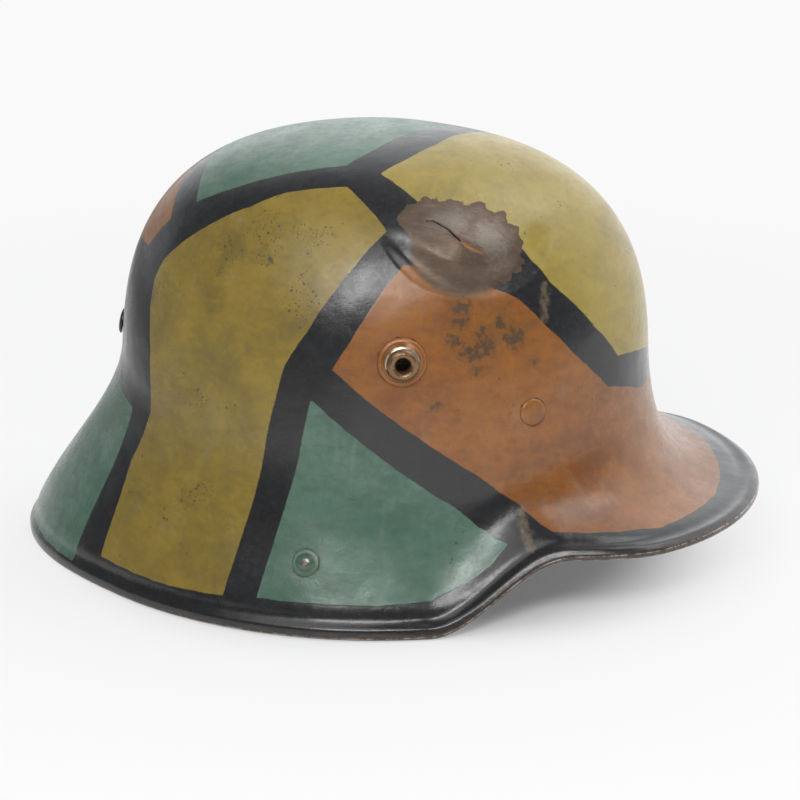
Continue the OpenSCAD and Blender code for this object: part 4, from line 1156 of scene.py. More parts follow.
@dataclass
class Shell:
    """The pressed shell, from the crown to its rolled edge, inside and out."""

    form: ShellForm = FORM
    around: int = 288
    crown_rows: int = 72
    flare_rows: int = 38
    roll_rows: int = 16
    inner_flare_rows: int = 16
    inner_crown_rows: int = 30
    blank_half: float = 0.05
    inner_reach: float = 0.98
    lip: float = 0.55
    struck_out: float = 3.2
    trough_half: float = 7.0
    struck_in: float = 2.1
    hole_radius: float = 4.25

    def blank(self) -> Mesh:
        """Spins a flat lens whose radius counts steps down the shell and whose two sides are its two faces."""
        h = self.blank_half
        rows = [(i / self.crown_rows, h) for i in range(self.crown_rows + 1)]
        rows += [(1 + i / self.flare_rows, h) for i in range(1, self.flare_rows + 1)]
        rows += [(2 + h * math.sin(a), h * math.cos(a))
                 for a in (math.pi * i / self.roll_rows for i in range(1, self.roll_rows + 1))]
        rows += [(1 + self.inner_reach * i / self.inner_flare_rows, -h)
                 for i in range(self.inner_flare_rows, 0, -1)]
        rows += [(i / self.inner_crown_rows, -h) for i in range(self.inner_crown_rows, -1, -1)]
        return turned(rows, self.around)

    def read(self, lens: Array) -> Numbers:
        """Reads what places on the lens stand for.

        Args:
            lens: The places.

        Returns:
            Plan angle, step down the face, share of the roll, and which face they are on.
        """
        reach = np.hypot(lens[:, 0], lens[:, 1])
        turn = np.degrees(np.arctan2(lens[:, 0], -lens[:, 1]))
        roll = reach > 1 + self.inner_reach + 0.01
        outside = (lens[:, 2] > self.blank_half - 1e-4) & (reach <= 2.0001)
        share = np.where(roll & ~outside, np.arctan2(np.maximum(reach - 2, 0), lens[:, 2]) / np.pi, -1.0)
        return {"turn": turn, "step": np.clip(reach, 0, 2), "share": share, "outside": outside}

    def places(self, lens: Array) -> Array:
        """Maps the lens onto the real shell.

        Args:
            lens: Places on the lens.

        Returns:
            Places on the shell, in millimetres.
        """
        at = self.read(lens)
        turn, share = at["turn"], at["share"]
        r, z = self.form.outer(turn, CHART.to_t(at["step"]))
        folded = self.form.fold(turn)
        step = at["step"]
        inner_step = np.where(step > 1, 1 + (step - 1) / self.inner_reach * self.form.inner_end(folded), step)
        ri, zi = self.form.inner(turn, CHART.to_t(np.minimum(inner_step, 2)))
        groove = (1 - 0.1 * np.exp(-((share - 0.275) / 0.05) ** 2)
                  + 0.03 * np.exp(-((share - 0.17) / 0.04) ** 2))
        rr, zr = self.form.roll(turn, np.maximum(share, 0), self.form.bead_radius * groove)
        outside, rolled = at["outside"], share > -0.5
        left = CHART.left(turn, at["step"])
        lip = self.lip * (np.exp(-((left - 1.8) / 1.4) ** 2) - 0.8 * np.exp(-((left - 5.8) / 2.1) ** 2))
        dip = self.form.rim(folded)[2]
        r = np.where(outside, r + lip * np.sin(dip), np.where(rolled, rr, ri))
        z = np.where(outside, z + lip * np.cos(dip), np.where(rolled, zr, zi))
        return self.struck(self.form.place(turn, r, z))

    def struck(self, points: Array) -> Array:
        """Pushes the struck metal out, with a shallow trough below it and dings round it.

        Args:
            points: Places on the plain shell, in millimetres.

        Returns:
            Places on the struck shell.
        """
        at, out = STRUCK.spot(), STRUCK.outward()
        q = split(points, at, out)[1] / STRUCK.radius
        dome = np.where(q < 0.9, (1 - (q / 0.9) ** 2) ** 2, 0)
        middle = TROUGH.spot()
        off_ring = (away(points, middle) - TROUGH.radius) / self.trough_half
        trough = (1 - np.minimum(off_ring**2, 1)) ** 2 * smooth(middle[2] - points[:, 2], 3, 14)
        lift = self.struck_out * dome - self.struck_in * trough
        near = away(points, at) < 2.2 * STRUCK.radius
        return points + np.where(near, lift, 0)[:, None] * out

    def refine(self, bm: Mesh, gap: Callable[[Numbers, Array], Array], reach: float) -> None:
        """Halves the cells of the lens that lie within reach of something.

        Args:
            bm: The lens.
            gap: Measures distances, from what read() and places() give.
            reach: The reach in millimetres.
        """
        lens = coordinates(bm)
        mask = gap(self.read(lens), self.places(lens)) < reach
        edges = [e for e in bm.edges if mask[e.verts[0].index] and mask[e.verts[1].index]]
        bmesh.ops.subdivide_edges(bm, edges=edges, cuts=1, use_grid_fill=True)

    @staticmethod
    def from_struck(_at: Numbers, real: Array) -> Array:
        """Measures the distance from the struck place."""
        return away(real, STRUCK.spot())

    @staticmethod
    def from_edges(at: Numbers, real: Array) -> Array:
        """Measures the distance from the painted edges, on the outer face."""
        nearest = np.abs(np.array(list(Survey(at["turn"], at["step"], real).paints().values()))).min(axis=0)
        return np.where(at["outside"], nearest, FAR)

    @staticmethod
    def from_rim(at: Numbers, _real: Array) -> Array:
        """Measures what is left of the tape, on the outer face."""
        return np.where(at["outside"], CHART.left(at["turn"], at["step"]), np.inf)

    def from_crack(self, at: Numbers, real: Array) -> Array:
        """Measures the distance from the torn crack."""
        near = (self.from_struck(at, real) < 30) & at["outside"]
        return Survey(at["turn"], at["step"], real).lines(near)["crack_gap"]

    @staticmethod
    def from_vents(_at: Numbers, real: Array) -> Array:
        """Measures the distance from the nearer vent hole."""
        return np.minimum(away(real, VENT.spot(1)), away(real, VENT.spot(-1)))

    def open_vents(self, bm: Mesh) -> None:
        """Takes out the cells inside the vent holes while the mesh is still a lens."""
        real = self.places(coordinates(bm))
        doomed = set()
        for side in (1, -1):
            across = split(real, VENT.spot(side), VENT.outward(side))[1]
            hit = (across < self.hole_radius) & (away(real, VENT.spot(side)) < VENT.radius)
            doomed |= {f for f in bm.faces if all(hit[x.index] for x in f.verts)}
        bmesh.ops.delete(bm, geom=list(doomed), context="FACES")

    def close_vents(self, bm: Mesh) -> None:
        """Rounds the vent holes and walls them through the sheet, on the real shell."""
        for side in (1, -1):
            at = self.form.skin(side * VENT.turn, VENT.height) * MM
            out = self.form.skin_normal(side * VENT.turn, VENT.height)
            ring = [e for e in bm.edges if e.is_boundary and (e.verts[0].co - at).length < 9 * MM]
            for vert in {v for e in ring for v in e.verts}:
                along = out * (vert.co - at).dot(out)
                radial = vert.co - at - along
                vert.co = at + along + radial.normalized() * self.hole_radius * MM
            bmesh.ops.bridge_loops(bm, edges=ring)

    def build(self) -> Piece:
        """Builds and dresses the shell."""
        bm = self.blank()
        for gap, reach in ((self.from_edges, 2.0), (self.from_rim, 12), (self.from_struck, 36),
                           (self.from_struck, 33), (self.from_crack, 2.2), (self.from_vents, 9),
                           (self.from_vents, 7)):
            self.refine(bm, gap, reach)
        self.open_vents(bm)
        bmesh.ops.triangulate(bm, faces=[f for f in bm.faces if len(f.verts) > 4])
        bmesh.ops.delete(bm, geom=[v for v in bm.verts if not v.link_faces], context="VERTS")
        lens = coordinates(bm)
        plain = self.places(lens)
        marks = self.marks(lens, plain)
        real = self.torn(plain, marks)
        move_to(bm, real)
        self.close_vents(bm)
        bmesh.ops.recalc_face_normals(bm, faces=bm.faces)
        piece = Piece("painted_shell", bm, "helmet", "shell_paint", ["shell"])
        for name, values in marks.items():
            piece.number(name, values)
        return piece.dress(PAINT)

    def torn(self, real: Array, marks: Numbers) -> Array:
        """Opens the crack in the struck metal, raises its lips and dents the metal round it.

        Args:
            real: Places on the shell.
            marks: The shell's marks.

        Returns:
            The places with the crack in them.
        """
        out = STRUCK.outward()
        crack, rusty = marks["crack_gap"], marks["rusty_gap"]
        lift = (0.4 * np.exp(-(crack / 3.0) ** 2) - 1.3 * np.exp(-(crack / 0.3) ** 2)
                + 0.2 * np.exp(-(rusty / 2.5) ** 2) - 0.3 * np.exp(-(rusty / 0.8) ** 2)
                + 0.25 * marks["painted_highlight_spot"] - 0.2 * marks["dark_spot"])
        return real + np.where(marks["inside"] < 0.5, lift, 0)[:, None] * out

    def marks(self, lens: Array, real: Array) -> Numbers:
        """Works out every number that the finish reads.

        Args:
            lens: Places on the lens.
            real: Places on the shell.

        Returns:
            The numbers by name, one per vertex.
        """
        at = self.read(lens)
        outside, share = at["outside"], at["share"]
        survey = Survey(at["turn"], at["step"], real)
        marks = {}
        for name, values in survey.numbers().items():
            marks[name] = np.where(outside, values, FAR if name.endswith(("_edge", "_gap")) else 0.0)
        gap = np.full(len(lens), FAR)
        for fitting in (VENT, FRONT_RIVET, CHIN_RIVET, REAR_RIVET):
            for side in (1, -1) if fitting is not REAR_RIVET else (1,):
                gap = np.minimum(gap, np.abs(away(real, fitting.spot(side)) - fitting.radius))
        marks["fitting_gap"] = np.where(outside, gap, FAR)
        marks["roll_share"] = share
        left = np.clip(CHART.left(at["turn"], at["step"]), 0, FAR)
        marks["rim_gap"] = np.where(outside, left, np.where(share > -0.5, 0, FAR))
        marks["inside"] = np.where(outside | ((share > -0.5) & (share < 0.8)), 0.0, 1.0)
        marks["rub"] = np.zeros(len(lens))
        return marks


def rounded(profile: Profile, radius: float = 0.22, steps: int = 3
            ) -> tuple[list[tuple[float, float]], list[float]]:
    """Rounds a turned profile's corners.

    Args:
        profile: Radius and height in millimetres.
        radius: How far each corner is cut back.
        steps: Points round each corner.

    Returns:
        The new profile in metres, and how worn each point is, 0 to 1.
    """
    points, wear = [tuple(Vector(profile[0]) * MM)], [0.15]
    for before, here, after in zip(profile, profile[1:], profile[2:]):
        here = Vector(here)
        back, on = Vector(before) - here, Vector(after) - here
        cut = min(radius, 0.4 * back.length, 0.4 * on.length)
        a, b = here + back.normalized() * cut, here + on.normalized() * cut
        raised = back.x * on.y - back.y * on.x > 0.05 * back.length * on.length
        for k in range(steps + 1):
            share = k / steps
            points.append(tuple(a.lerp(here, share).lerp(here.lerp(b, share), share) * MM))
            wear.append(0.9 if raised else 0.15)
    return points + [tuple(Vector(profile[-1]) * MM)], wear + [0.15]


def seat(radius: float) -> float:
    """Gives the depth of the flat that seats a disc on the curved skin, in millimetres."""
    return radius * radius / 170 + 0.04


@dataclass
class Turnery:
    """Fittings that are turned from a profile and stand on the shell."""

    form: ShellForm = FORM
    around: int = 96

    def turn(self, profile: Profile, spot: Matrix, radius: float = 0.22
             ) -> tuple[Mesh, Array, Array]:
        """Turns one fitting and sets it in place.

        Args:
            profile: Radius and height in millimetres.
            spot: Its place.
            radius: The rounding of its corners.

        Returns:
            The mesh, and each vertex's wear and height over the skin.
        """
        points, wear = rounded(profile, radius)
        bm = turned(points, self.around, profile[0][0] > 0)
        local = coordinates(bm)
        reach = np.hypot(local[:, 0], local[:, 1])
        made = np.array(points)
        nearest = np.argmin((made[None, :, 0] - reach[:, None]) ** 2 + (made[None, :, 1] - local[:, 2:3]) ** 2,
                            axis=1)
        bmesh.ops.transform(bm, matrix=spot, verts=bm.verts)
        return bm, np.array(wear)[nearest], local[:, 2] / MM


@dataclass
class VentLugs(Turnery):
    """The two hollow lugs that let air in, each with a stepped base, a neck and a head."""

    base: float = 9.0
    head: float = 6.1
    neck: float = 4.9
    out: float = 8.0
    bore: float = 2.7
    droop: float = 9.0

    def profile(self) -> list[tuple[float, float]]:
        """Draws the lug's section, in millimetres."""
        hole, inside, low, out = self.bore + 1.5, -self.form.sheet - 1, -seat(self.base), self.out
        return [
            (self.bore, inside - 0.9), (hole + 0.9, inside - 0.9), (hole + 1.3, inside - 0.5),
            (hole + 1.3, inside), (hole, inside), (hole, low), (self.base, low), (self.base, 0.5),
            (self.base - 0.5, 1), (self.base - 1.4, 1.1), (self.base - 1.5, 1.9), (self.base - 2, 2.4),
            (self.head, 2.7), (self.neck, 3.2), (self.neck, out - 3.6), (self.head - 0.5, out - 3.1),
            (self.head, out - 2.5), (self.head, out - 1.7), (self.head - 0.5, out - 0.8),
            (self.head - 1.4, out - 0.1), (self.bore + 1.3, out), (self.bore + 0.5, out - 0.5),
            (self.bore, out - 1.3)]

    def build(self) -> None:
        """Turns both lugs."""
        for word, side in (("left", 1), ("right", -1)):
            bm, wear, height = self.turn(self.profile(), Matrix.Identity(4))
            droop = Matrix.Translation((0, 0, 1.5 * MM)) @ Matrix.Rotation(math.radians(self.droop), 4, "Y") \
                @ Matrix.Translation((0, 0, -1.5 * MM))
            head = [v for v in bm.verts if v.co.z > 2.5 * MM]
            bmesh.ops.transform(bm, matrix=droop, verts=head)
            bmesh.ops.transform(bm, matrix=self.form.on_skin(side * VENT.turn, VENT.height), verts=bm.verts)
            piece = Piece(f"turned_lug_{word}", bm, "helmet", "lug_steel", [f"vent_lug_{word}"])
            raised = smooth(height, 1.5, 3)
            piece.number("wear", wear * (0.3 + 0.7 * raised)).number("raised", raised).dress(LUG)


@dataclass
class Liner:
    """Sizes of the leather band and pads inside the shell, and where they lie."""

    form: ShellForm = FORM
    band_height: float = 24.0
    band_thick: float = 2.2
    band_gap: float = 0.5
    pad_span: float = 110.0
    pad_part: float = 12.5
    pad_thick: float = 1.8
    finger_height: float = 56.0
    finger_gap: float = 15.0
    finger_notch: float = 6.0
    hem: float = 4.0
    lay_gap: float = 0.1
    front_part: float = 2.5
    cushion_gap: float = 0.3
    cushion_thick: float = 7.5
    washer_thick: float = 0.8

    @property
    def front_mid(self) -> float:
        """Plan angle of the middle of a front pad."""
        return self.pad_span / 2 + self.front_part

    @property
    def rear_span(self) -> float:
        """Plan angle that the rear pad covers."""
        return 360 - 2 * (self.pad_span + self.front_part + self.pad_part)

    def band_mid(self, turn: Array) -> Array:
        """Gives the height of the band's middle."""
        rear = ShellForm.fold(REAR_RIVET.turn)
        s = np.clip((ShellForm.fold(turn) - FRONT_RIVET.turn) / (rear - FRONT_RIVET.turn), 0, 1)
        return FRONT_RIVET.height + (REAR_RIVET.height - FRONT_RIVET.height) * (1 - np.cos(np.pi * s)) / 2

    def band_out(self, turn: Array, z: Array) -> Array:
        """Gives the radius of the band's outer face at a height."""
        mid, half = self.band_mid(turn), self.band_height / 2
        inside = self.form.wall_inside
        top = inside(turn, mid + half)
        low = np.minimum(inside(turn, mid - half), 2 * inside(turn, mid) - top)
        return low - self.band_gap + (top - low) * ((z - mid) / self.band_height + 0.5)

    def band_in(self, turn: Array, z: Array) -> Array:
        """Gives the radius of the band's inner face at a height."""
        return self.band_out(turn, z) - self.band_thick

    def band_depth(self, turn: float) -> float:
        """Gives the depth of the band's inner face below the skin, along a rivet."""
        z = self.band_mid(turn)
        n = self.form.skin_normal(turn, float(z))
        lean = n.x * math.sin(math.radians(turn)) - n.y * math.cos(math.radians(turn))
        return float(self.form.wall(turn, z) - self.band_in(turn, z)) * lean - 0.12

    def hem_top(self, turn: Array) -> Array:
        """Gives the height at which a pad leaves the band."""
        return self.band_mid(turn) - self.band_height / 2 + self.hem

    def tip(self, turn: Array) -> Array:
        """Gives the height of the finger tips."""
        return self.band_mid(turn) - self.band_height / 2 + self.finger_height

    def pad_back(self, turn: Array, z: Array) -> Array:
        """Gives the radius of a pad's face towards the shell."""
        low, high = self.hem_top(turn), self.tip(turn)
        start = self.form.wall_inside(turn, low) - self.band_in(turn, low) + self.lay_gap
        s = np.clip((z - low) / (high - low), 0, 1)
        leaning = self.form.wall_inside(turn, np.maximum(z, low)) - start - (self.finger_gap - start) * s**0.6
        return np.where(z <= low, self.band_in(turn, z) - self.lay_gap, leaning)



@dataclass
class Rivets(Turnery):
    """The rivets that hold the liner and the chinstrap lugs, painted over with the shell."""

    liner: Liner = field(default_factory=Liner)
    head: float = 5.2
    rise: float = 1.5
    shank: float = 1.9
    prong: tuple[float, float, float] = (7.5, 3.0, 0.9)

    def build(self) -> None:
        """Makes all five rivets."""
        for word, turn in (("front_left", FRONT_RIVET.turn), ("front_right", -FRONT_RIVET.turn),
                           ("rear", REAR_RIVET.turn)):
            self.split(f"liner_rivet_{word}", turn)
        for word, side in (("left", 1), ("right", -1)):
            self.domed(f"strap_rivet_{word}", side)

    def split(self, node: str, turn: float) -> None:
        """Makes a rivet with a low head outside and two bent prongs inside.

        Args:
            node: The solid that it stands for.
            turn: Its plan angle.
        """
        back = self.liner.band_depth(turn) + self.liner.washer_thick
        spot = self.form.on_skin(turn, float(self.liner.band_mid(turn)))
        low, r, rise = -seat(self.head), self.head, self.rise
        profile = [(0, -back - 0.9), (self.shank, -back - 0.9), (self.shank, low), (r, low), (r, 0.35),
                   (0.9 * r, 0.6 * rise), (0.6 * r, 0.9 * rise), (0.25 * r, rise), (0, rise)]
        bm = self.turn(profile, Matrix.Identity(4), 0.3)[0]
        if "rear" in node:
            tilt = Matrix.Translation((0, 0, 0.45 * MM)) @ Matrix.Rotation(math.radians(-6), 4, "Y")
            head = [v for v in bm.verts if v.co.z > low * MM - 1e-5]
            bmesh.ops.transform(bm, matrix=tilt, verts=head)
        for side in (1, -1):
            made = bmesh.ops.create_cube(bm, size=1)["verts"]
            length, width, thick = (v * MM for v in self.prong)
            place = Matrix.Translation((0, side * length / 2, (-back - 0.45) * MM))
            bmesh.ops.transform(bm, matrix=place @ Matrix.Diagonal((width, length, thick, 1)), verts=made)
            ends = [e for e in {e for v in made for e in v.link_edges}
                    if all(abs(v.co.y) > 0.9 * length for v in e.verts)
                    and abs(e.verts[0].co.z - e.verts[1].co.z) > 1e-5]
            bmesh.ops.bevel(bm, geom=ends, offset=0.45 * width, segments=5, profile=0.5, affect="EDGES",
                            material=-1)
        bmesh.ops.transform(bm, matrix=spot, verts=bm.verts)
        mesh, outward = self.painted(node, bm, spot, 0.35).object.data, spot.to_3x3().col[2]
        mesh.materials.append(Cached.of(STEEL))
        for face in mesh.polygons:
            if (face.center - spot.translation).dot(outward) < (low - 0.02) * MM:
                face.material_index = 1

    def domed(self, node: str, side: int) -> None:
        """Makes a ringed rivet head with a small dome.

        Args:
            node: The solid that it stands for.
            side: 1 for the wearer's left and -1 for the right.
        """
        low, r = -seat(self.head), self.head
        foot = -self.form.sheet - 2.1
        profile = [(0, foot), (2, foot), (2, low), (r, low), (r, 0.35), (r - 0.5, 0.6), (r - 1.4, 0.6),
                   (r - 1.8, 0.8), (r - 2.4, 1.5), (r - 3.6, 2.1), (0, 2.3)]
        spot = self.form.on_skin(side * CHIN_RIVET.turn, CHIN_RIVET.height)
        self.painted(node, self.turn(profile, spot, 0.25)[0], spot, 0.85)

    def painted(self, node: str, bm: Mesh, spot: Matrix, rub: float) -> Piece:
        """Runs the shell's paint over a rivet.

        Args:
            node: The solid that it stands for.
            bm: Its mesh, in place.
            spot: Its place on the shell.
            rub: How far its raised parts are rubbed.

        Returns:
            The piece.
        """
        real = coordinates(bm) / MM
        over = (real * MM - np.array(spot.translation)) @ np.array(spot.to_3x3().col[2]) / MM
        around = self.form.around(real)[0]
        survey = Survey(around, CHART.to_step(self.form.at_height(around, real[:, 2])), real)
        slot = "strap_rivet_paint" if node.startswith("strap") else "rivet_paint"
        piece = Piece("painted_" + node, bm, "helmet", slot, [node])
        for name, values in survey.numbers().items():
            piece.number(name, values)
        for name, value in (("fitting_gap", FAR), ("roll_share", -1.0), ("rim_gap", FAR), ("inside", 0.0)):
            piece.number(name, np.full(len(real), value))
        return piece.number("rub", rub * smooth(over, 0.5 * over.max(), over.max())).dress(PAINT)


class Threads:
    """Rows of stitches along routes on leather, made as one piece."""

    length: float = 3.0
    pitch: float = 4.6
    thick: float = 0.42

    def __init__(self) -> None:
        """Starts with no stitches."""
        self.bm = bmesh.new()

    def sew(self, route: Array, normals: Array) -> None:
        """Lays one row.

        Args:
            route: Points along the row, in millimetres.
            normals: The leather's outward direction at each point.
        """
        run = tape_along(route)
        for s in np.arange(self.pitch / 2, run[-1], self.pitch):
            at, ahead = (np.array([np.interp(x, run, route[:, k]) for k in range(3)]) for x in (s, s + 0.5))
            up = Vector([np.interp(s, run, normals[:, k]) for k in range(3)]).normalized()
            along = Vector(ahead - at)
            if along.length < 1e-6:
                continue
            along.normalize()
            side = up.cross(along).normalized()
            turn = Matrix((along, side, side.cross(along) * -1)).transposed().to_4x4()
            size = Matrix.Diagonal((self.length / 2 * MM, self.thick * MM, self.thick * MM, 1))
            bmesh.ops.create_icosphere(self.bm, subdivisions=1, radius=1,
                                       matrix=Matrix.Translation(Vector(at) * MM) @ turn @ size)

    def finish(self, name: str, body: str) -> None:
        """Ties the rows off as one piece."""
        bmesh.ops.recalc_face_normals(self.bm, faces=self.bm.faces)
        Piece(name, self.bm, body, "linen").dress(THREAD)


@dataclass
class Band(Liner):
    """The leather band inside the shell."""

    around: int = 240
    flat_radius: float = 100.0

    def build(self) -> None:
        """Makes the band from a flat ring of rounded section."""
        h, t, r = self.band_height / 2, self.band_thick, self.flat_radius
        rows = np.linspace(-h + 0.5, h - 0.5, 15)
        section = [(r - 0.5, -h), *((r, z) for z in rows), (r - 0.5, h), (r - t + 0.5, h),
                   *((r - t, z) for z in rows[::-1]), (r - t + 0.5, -h)]
        bm = turned([(a * MM, z * MM) for a, z in section], self.around, True)
        flat = coordinates(bm) / MM
        turn = np.degrees(np.arctan2(flat[:, 0], -flat[:, 1]))
        depth, height = np.hypot(flat[:, 0], flat[:, 1]) - r, flat[:, 2]
        z = self.band_mid(turn) + height
        places = self.form.place(turn, self.band_out(turn, z) + depth, z)
        for rivet in (FRONT_RIVET.turn, -FRONT_RIVET.turn, REAR_RIVET.turn):
            places = self.seated(places, depth < -t + 0.3, rivet)
        move_to(bm, places)
        bmesh.ops.recalc_face_normals(bm, faces=bm.faces)
        piece = Piece("leather_band", bm, "helmet", "liner_leather", ["liner_band"])
        piece.number("edge_gap", h - np.abs(height)).dress(BAND_LEATHER)

    def seated(self, places: Array, inner: Array, turn: float) -> Array:
        """Presses the band flat under a rivet's washer.

        Args:
            places: The band's vertices, in millimetres.
            inner: Which of them are on the inner face.
            turn: The rivet's plan angle.

        Returns:
            The places with the flat.
        """
        spot = self.form.on_skin(turn, float(self.band_mid(turn)))
        at, out = np.array(spot.translation) / MM, np.array(spot.to_3x3().col[2])
        over, radial = split(places, at, out)
        press = np.where(inner & (radial < 7) & (over < 0) & (over > -15), smooth(radial, 6.8, 5.4), 0)
        return places + (press * (-self.band_depth(turn) + 0.02 - over))[:, None] * out


@dataclass
class Pads(Liner):
    """The three leather pads, each with two fingers, and their linen cushions."""

    finger_columns: int = 34
    notch_columns: int = 6
    rows: int = 30
    pocket_inset: float = 0.86

    def build(self) -> None:
        """Makes all pads and cushions, and sews them."""
        threads = Threads()
        for word, mid, span in (("front_left", self.front_mid, self.pad_span),
                                ("front_right", -self.front_mid, self.pad_span),
                                ("rear", 180.0, self.rear_span)):
            self.pad(word, mid, span)
            self.cushion(word, mid, span)
            self.stitches(mid, span, threads)
        threads.finish("pad_stitches", "helmet")

    def half(self, span: float) -> float:
        """Gives half a finger's plan angle."""
        return (span / 2 - self.finger_notch) / 2

    def finger_top(self, away: Array, span: float) -> Array:
        """Gives how high a finger reaches at angles from the pad's middle, 0 at the hem and 1 at its tip."""
        x = (np.abs(away) - self.finger_notch - self.half(span)) / self.half(span)
        return np.sqrt(np.maximum(1 - x**4, 0)) * (np.abs(x) < 1)

    def columns(self, span: float) -> Array:
        """Spaces a pad's columns, closer at the sides of its fingers."""
        half = self.half(span)
        side = np.sin(np.linspace(-np.pi / 2, np.pi / 2, self.finger_columns + 1)) * half
        gap = np.linspace(-self.finger_notch, self.finger_notch, self.notch_columns + 1)[1:-1]
        mid = self.finger_notch + half
        return np.concatenate([side - mid, gap, side + mid])

    def pad(self, word: str, mid: float, span: float) -> None:
        """Makes one pad.

        Args:
            word: Its place in words.
            mid: Plan angle of its middle.
            span: Plan angle that it covers.
        """
        across = self.columns(span)
        bm = grid(len(across) - 1, self.rows)
        flat = coordinates(bm)
        away = across[np.rint(flat[:, 0] * (len(across) - 1)).astype(int)]
        turn = mid + away
        low, hem = self.hem_top(turn) - self.hem + 1, self.hem_top(turn)
        top = hem + 2 + (self.tip(turn) - hem - 2) * self.finger_top(away, span)
        z = low + (top - low) * flat[:, 1]
        sway = 0.35 * np.sin(np.radians(turn) * 11 + z * 0.09) * smooth(z - hem, 8, 30)
        places = self.form.place(turn, self.pad_back(turn, z) - self.pad_thick / 2 - np.abs(sway), z)
        move_to(bm, places)
        arc = np.minimum(span / 2 - np.abs(away), 9) * 1.6
        edge = np.minimum(np.minimum(top - z, z - low), arc)
        piece = Piece(f"leather_pad_{word}", bm, "helmet", "pad_leather", [f"pad_{word}"])
        piece.number("edge_gap", edge).thicken(self.pad_thick, 0.45)
        piece.dress(PAD_LEATHER)

    def cushion(self, word: str, mid: float, span: float) -> None:
        """Makes one stuffed cushion, swelled by a short cloth simulation.

        Args:
            word: Its place in words.
            mid: Plan angle of its middle.
            span: The pad's span.
        """
        bm = bmesh.new()
        bmesh.ops.create_cube(bm, size=2)
        bmesh.ops.subdivide_edges(bm, edges=bm.edges[:], cuts=19, use_grid_fill=True)
        flat = coordinates(bm)
        u, v = (np.sin(np.pi / 2 * flat[:, k]) for k in (0, 1))
        turn = mid + (span / 2 - 8) * u * (1 - 0.05 * (1 - v * v))
        low, high = self.band_mid(turn) + self.band_height / 2 - 2, self.tip(turn) - 7
        z = (low + high) / 2 + (high - low) / 2 * v * (1 - 0.08 * (1 - u * u))
        swell = np.sqrt(np.maximum(1 - u**6, 0)) * np.sqrt(np.maximum(1 - v**4, 0))
        share = (flat[:, 2] + 1) / 2
        thick = 0.6 + (self.cushion_thick - 1.6) * swell
        back = self.pad_back(turn, z) + self.cushion_gap + 0.15
        plain = self.form.place(turn, back + share * thick, z)
        move_to(bm, plain)
        bmesh.ops.recalc_face_normals(bm, faces=bm.faces)
        piece = Piece(f"linen_cushion_{word}", bm, "helmet", "linen", [f"cushion_{word}"])
        self.swell(piece.object, plain)
        across = np.radians(turn - mid) * 90
        piece.uv("cloth", np.stack([across, z], -1) * MM)
        piece.number("edge_gap", np.minimum(1 - np.abs(u), 1 - np.abs(v)) * 30)
        piece.modifier("SUBSURF", levels=1, render_levels=1)
        piece.dress(LINEN)

    def swell(self, cushion: bpy.types.Object, plain: Array, most: float = 1.2) -> None:
        """Fills a cushion with pressure for a few steps and keeps it between its neighbours.

        Args:
            cushion: The cushion.
            plain: Its vertices before, in millimetres.
            most: How far one may move.
        """
        cloth = cushion.modifiers.new("cloth", "CLOTH")
        cloth.settings.use_pressure = True
        cloth.settings.uniform_pressure_force = 4
        cloth.settings.effector_weights.gravity = 0
        cloth.settings.shrink_min = -0.04
        cloth.settings.quality = 6
        scene = bpy.context.scene
        for step in range(1, 16):
            scene.frame_set(step)
        shaped = cushion.evaluated_get(bpy.context.evaluated_depsgraph_get()).data
        puffed = np.array([v.co for v in shaped.vertices]) / MM
        cushion.modifiers.remove(cloth)
        scene.frame_set(1)
        moved = puffed - plain
        far = np.linalg.norm(moved, axis=1)
        places = plain + moved * np.minimum(1, most / np.maximum(far, 1e-9))[:, None]
        turn, reach = self.form.around(places)
        back = self.pad_back(turn, places[:, 2]) + 0.15
        wall = self.form.wall_inside(turn, places[:, 2]) - 0.4
        kept = self.form.place(turn, np.clip(reach, back, np.maximum(wall, back + 0.3)), places[:, 2])
        cushion.data.vertices.foreach_set("co", (kept * MM).astype(np.float32).ravel())
        cushion.data.update()

    def stitches(self, mid: float, span: float, threads: Threads) -> None:
        """Sews a pad's hem to the band and its pockets to its fingers.

        Args:
            mid: Plan angle of its middle.
            span: Plan angle that it covers.
            threads: The stitches.
        """
        turn = mid + np.linspace(-span / 2 + 1.5, span / 2 - 1.5, 90)
        for up in (1.6, 3.4):
            self.row(turn, self.hem_top(turn) - self.hem + up, threads)
        half = self.half(span)
        for side in (1, -1):
            x = np.sin(np.linspace(-np.pi / 2, np.pi / 2, 120)) * self.pocket_inset
            turn = mid + side * (self.finger_notch + half * (1 + x))
            low = self.hem_top(turn) + 7
            arch = np.sqrt(np.maximum(1 - (x / self.pocket_inset) ** 4, 0))
            self.row(turn, low + (self.tip(turn) - 5 - low) * arch, threads)

    def row(self, turn: Array, z: Array, threads: Threads) -> None:
        """Sews one row on the pads' inner face, at plan angles and heights."""
        reach = self.pad_back(turn, z) - self.pad_thick - 0.1
        inward = -self.form.place(turn, np.ones_like(turn), 0 * turn) + np.array([0, self.form.centre_y, 0])
        threads.sew(self.form.place(turn, reach, z), inward)


def punch(bm: Mesh, at: tuple[float, float], radius: float) -> None:
    """Opens a round hole in a flat sheet.

    Args:
        bm: The sheet.
        at: The hole's middle, in the sheet's own units.
        radius: Its radius.
    """
    middle = Vector((*at, 0))
    faces = [f for f in bm.faces if (f.calc_center_median() - middle).length < radius]
    bmesh.ops.delete(bm, geom=faces, context="FACES")
    for vert in {v for e in bm.edges if e.is_boundary for v in e.verts}:
        away = vert.co - middle
        if away.length < 1.7 * radius:
            vert.co = middle + away.normalized() * radius


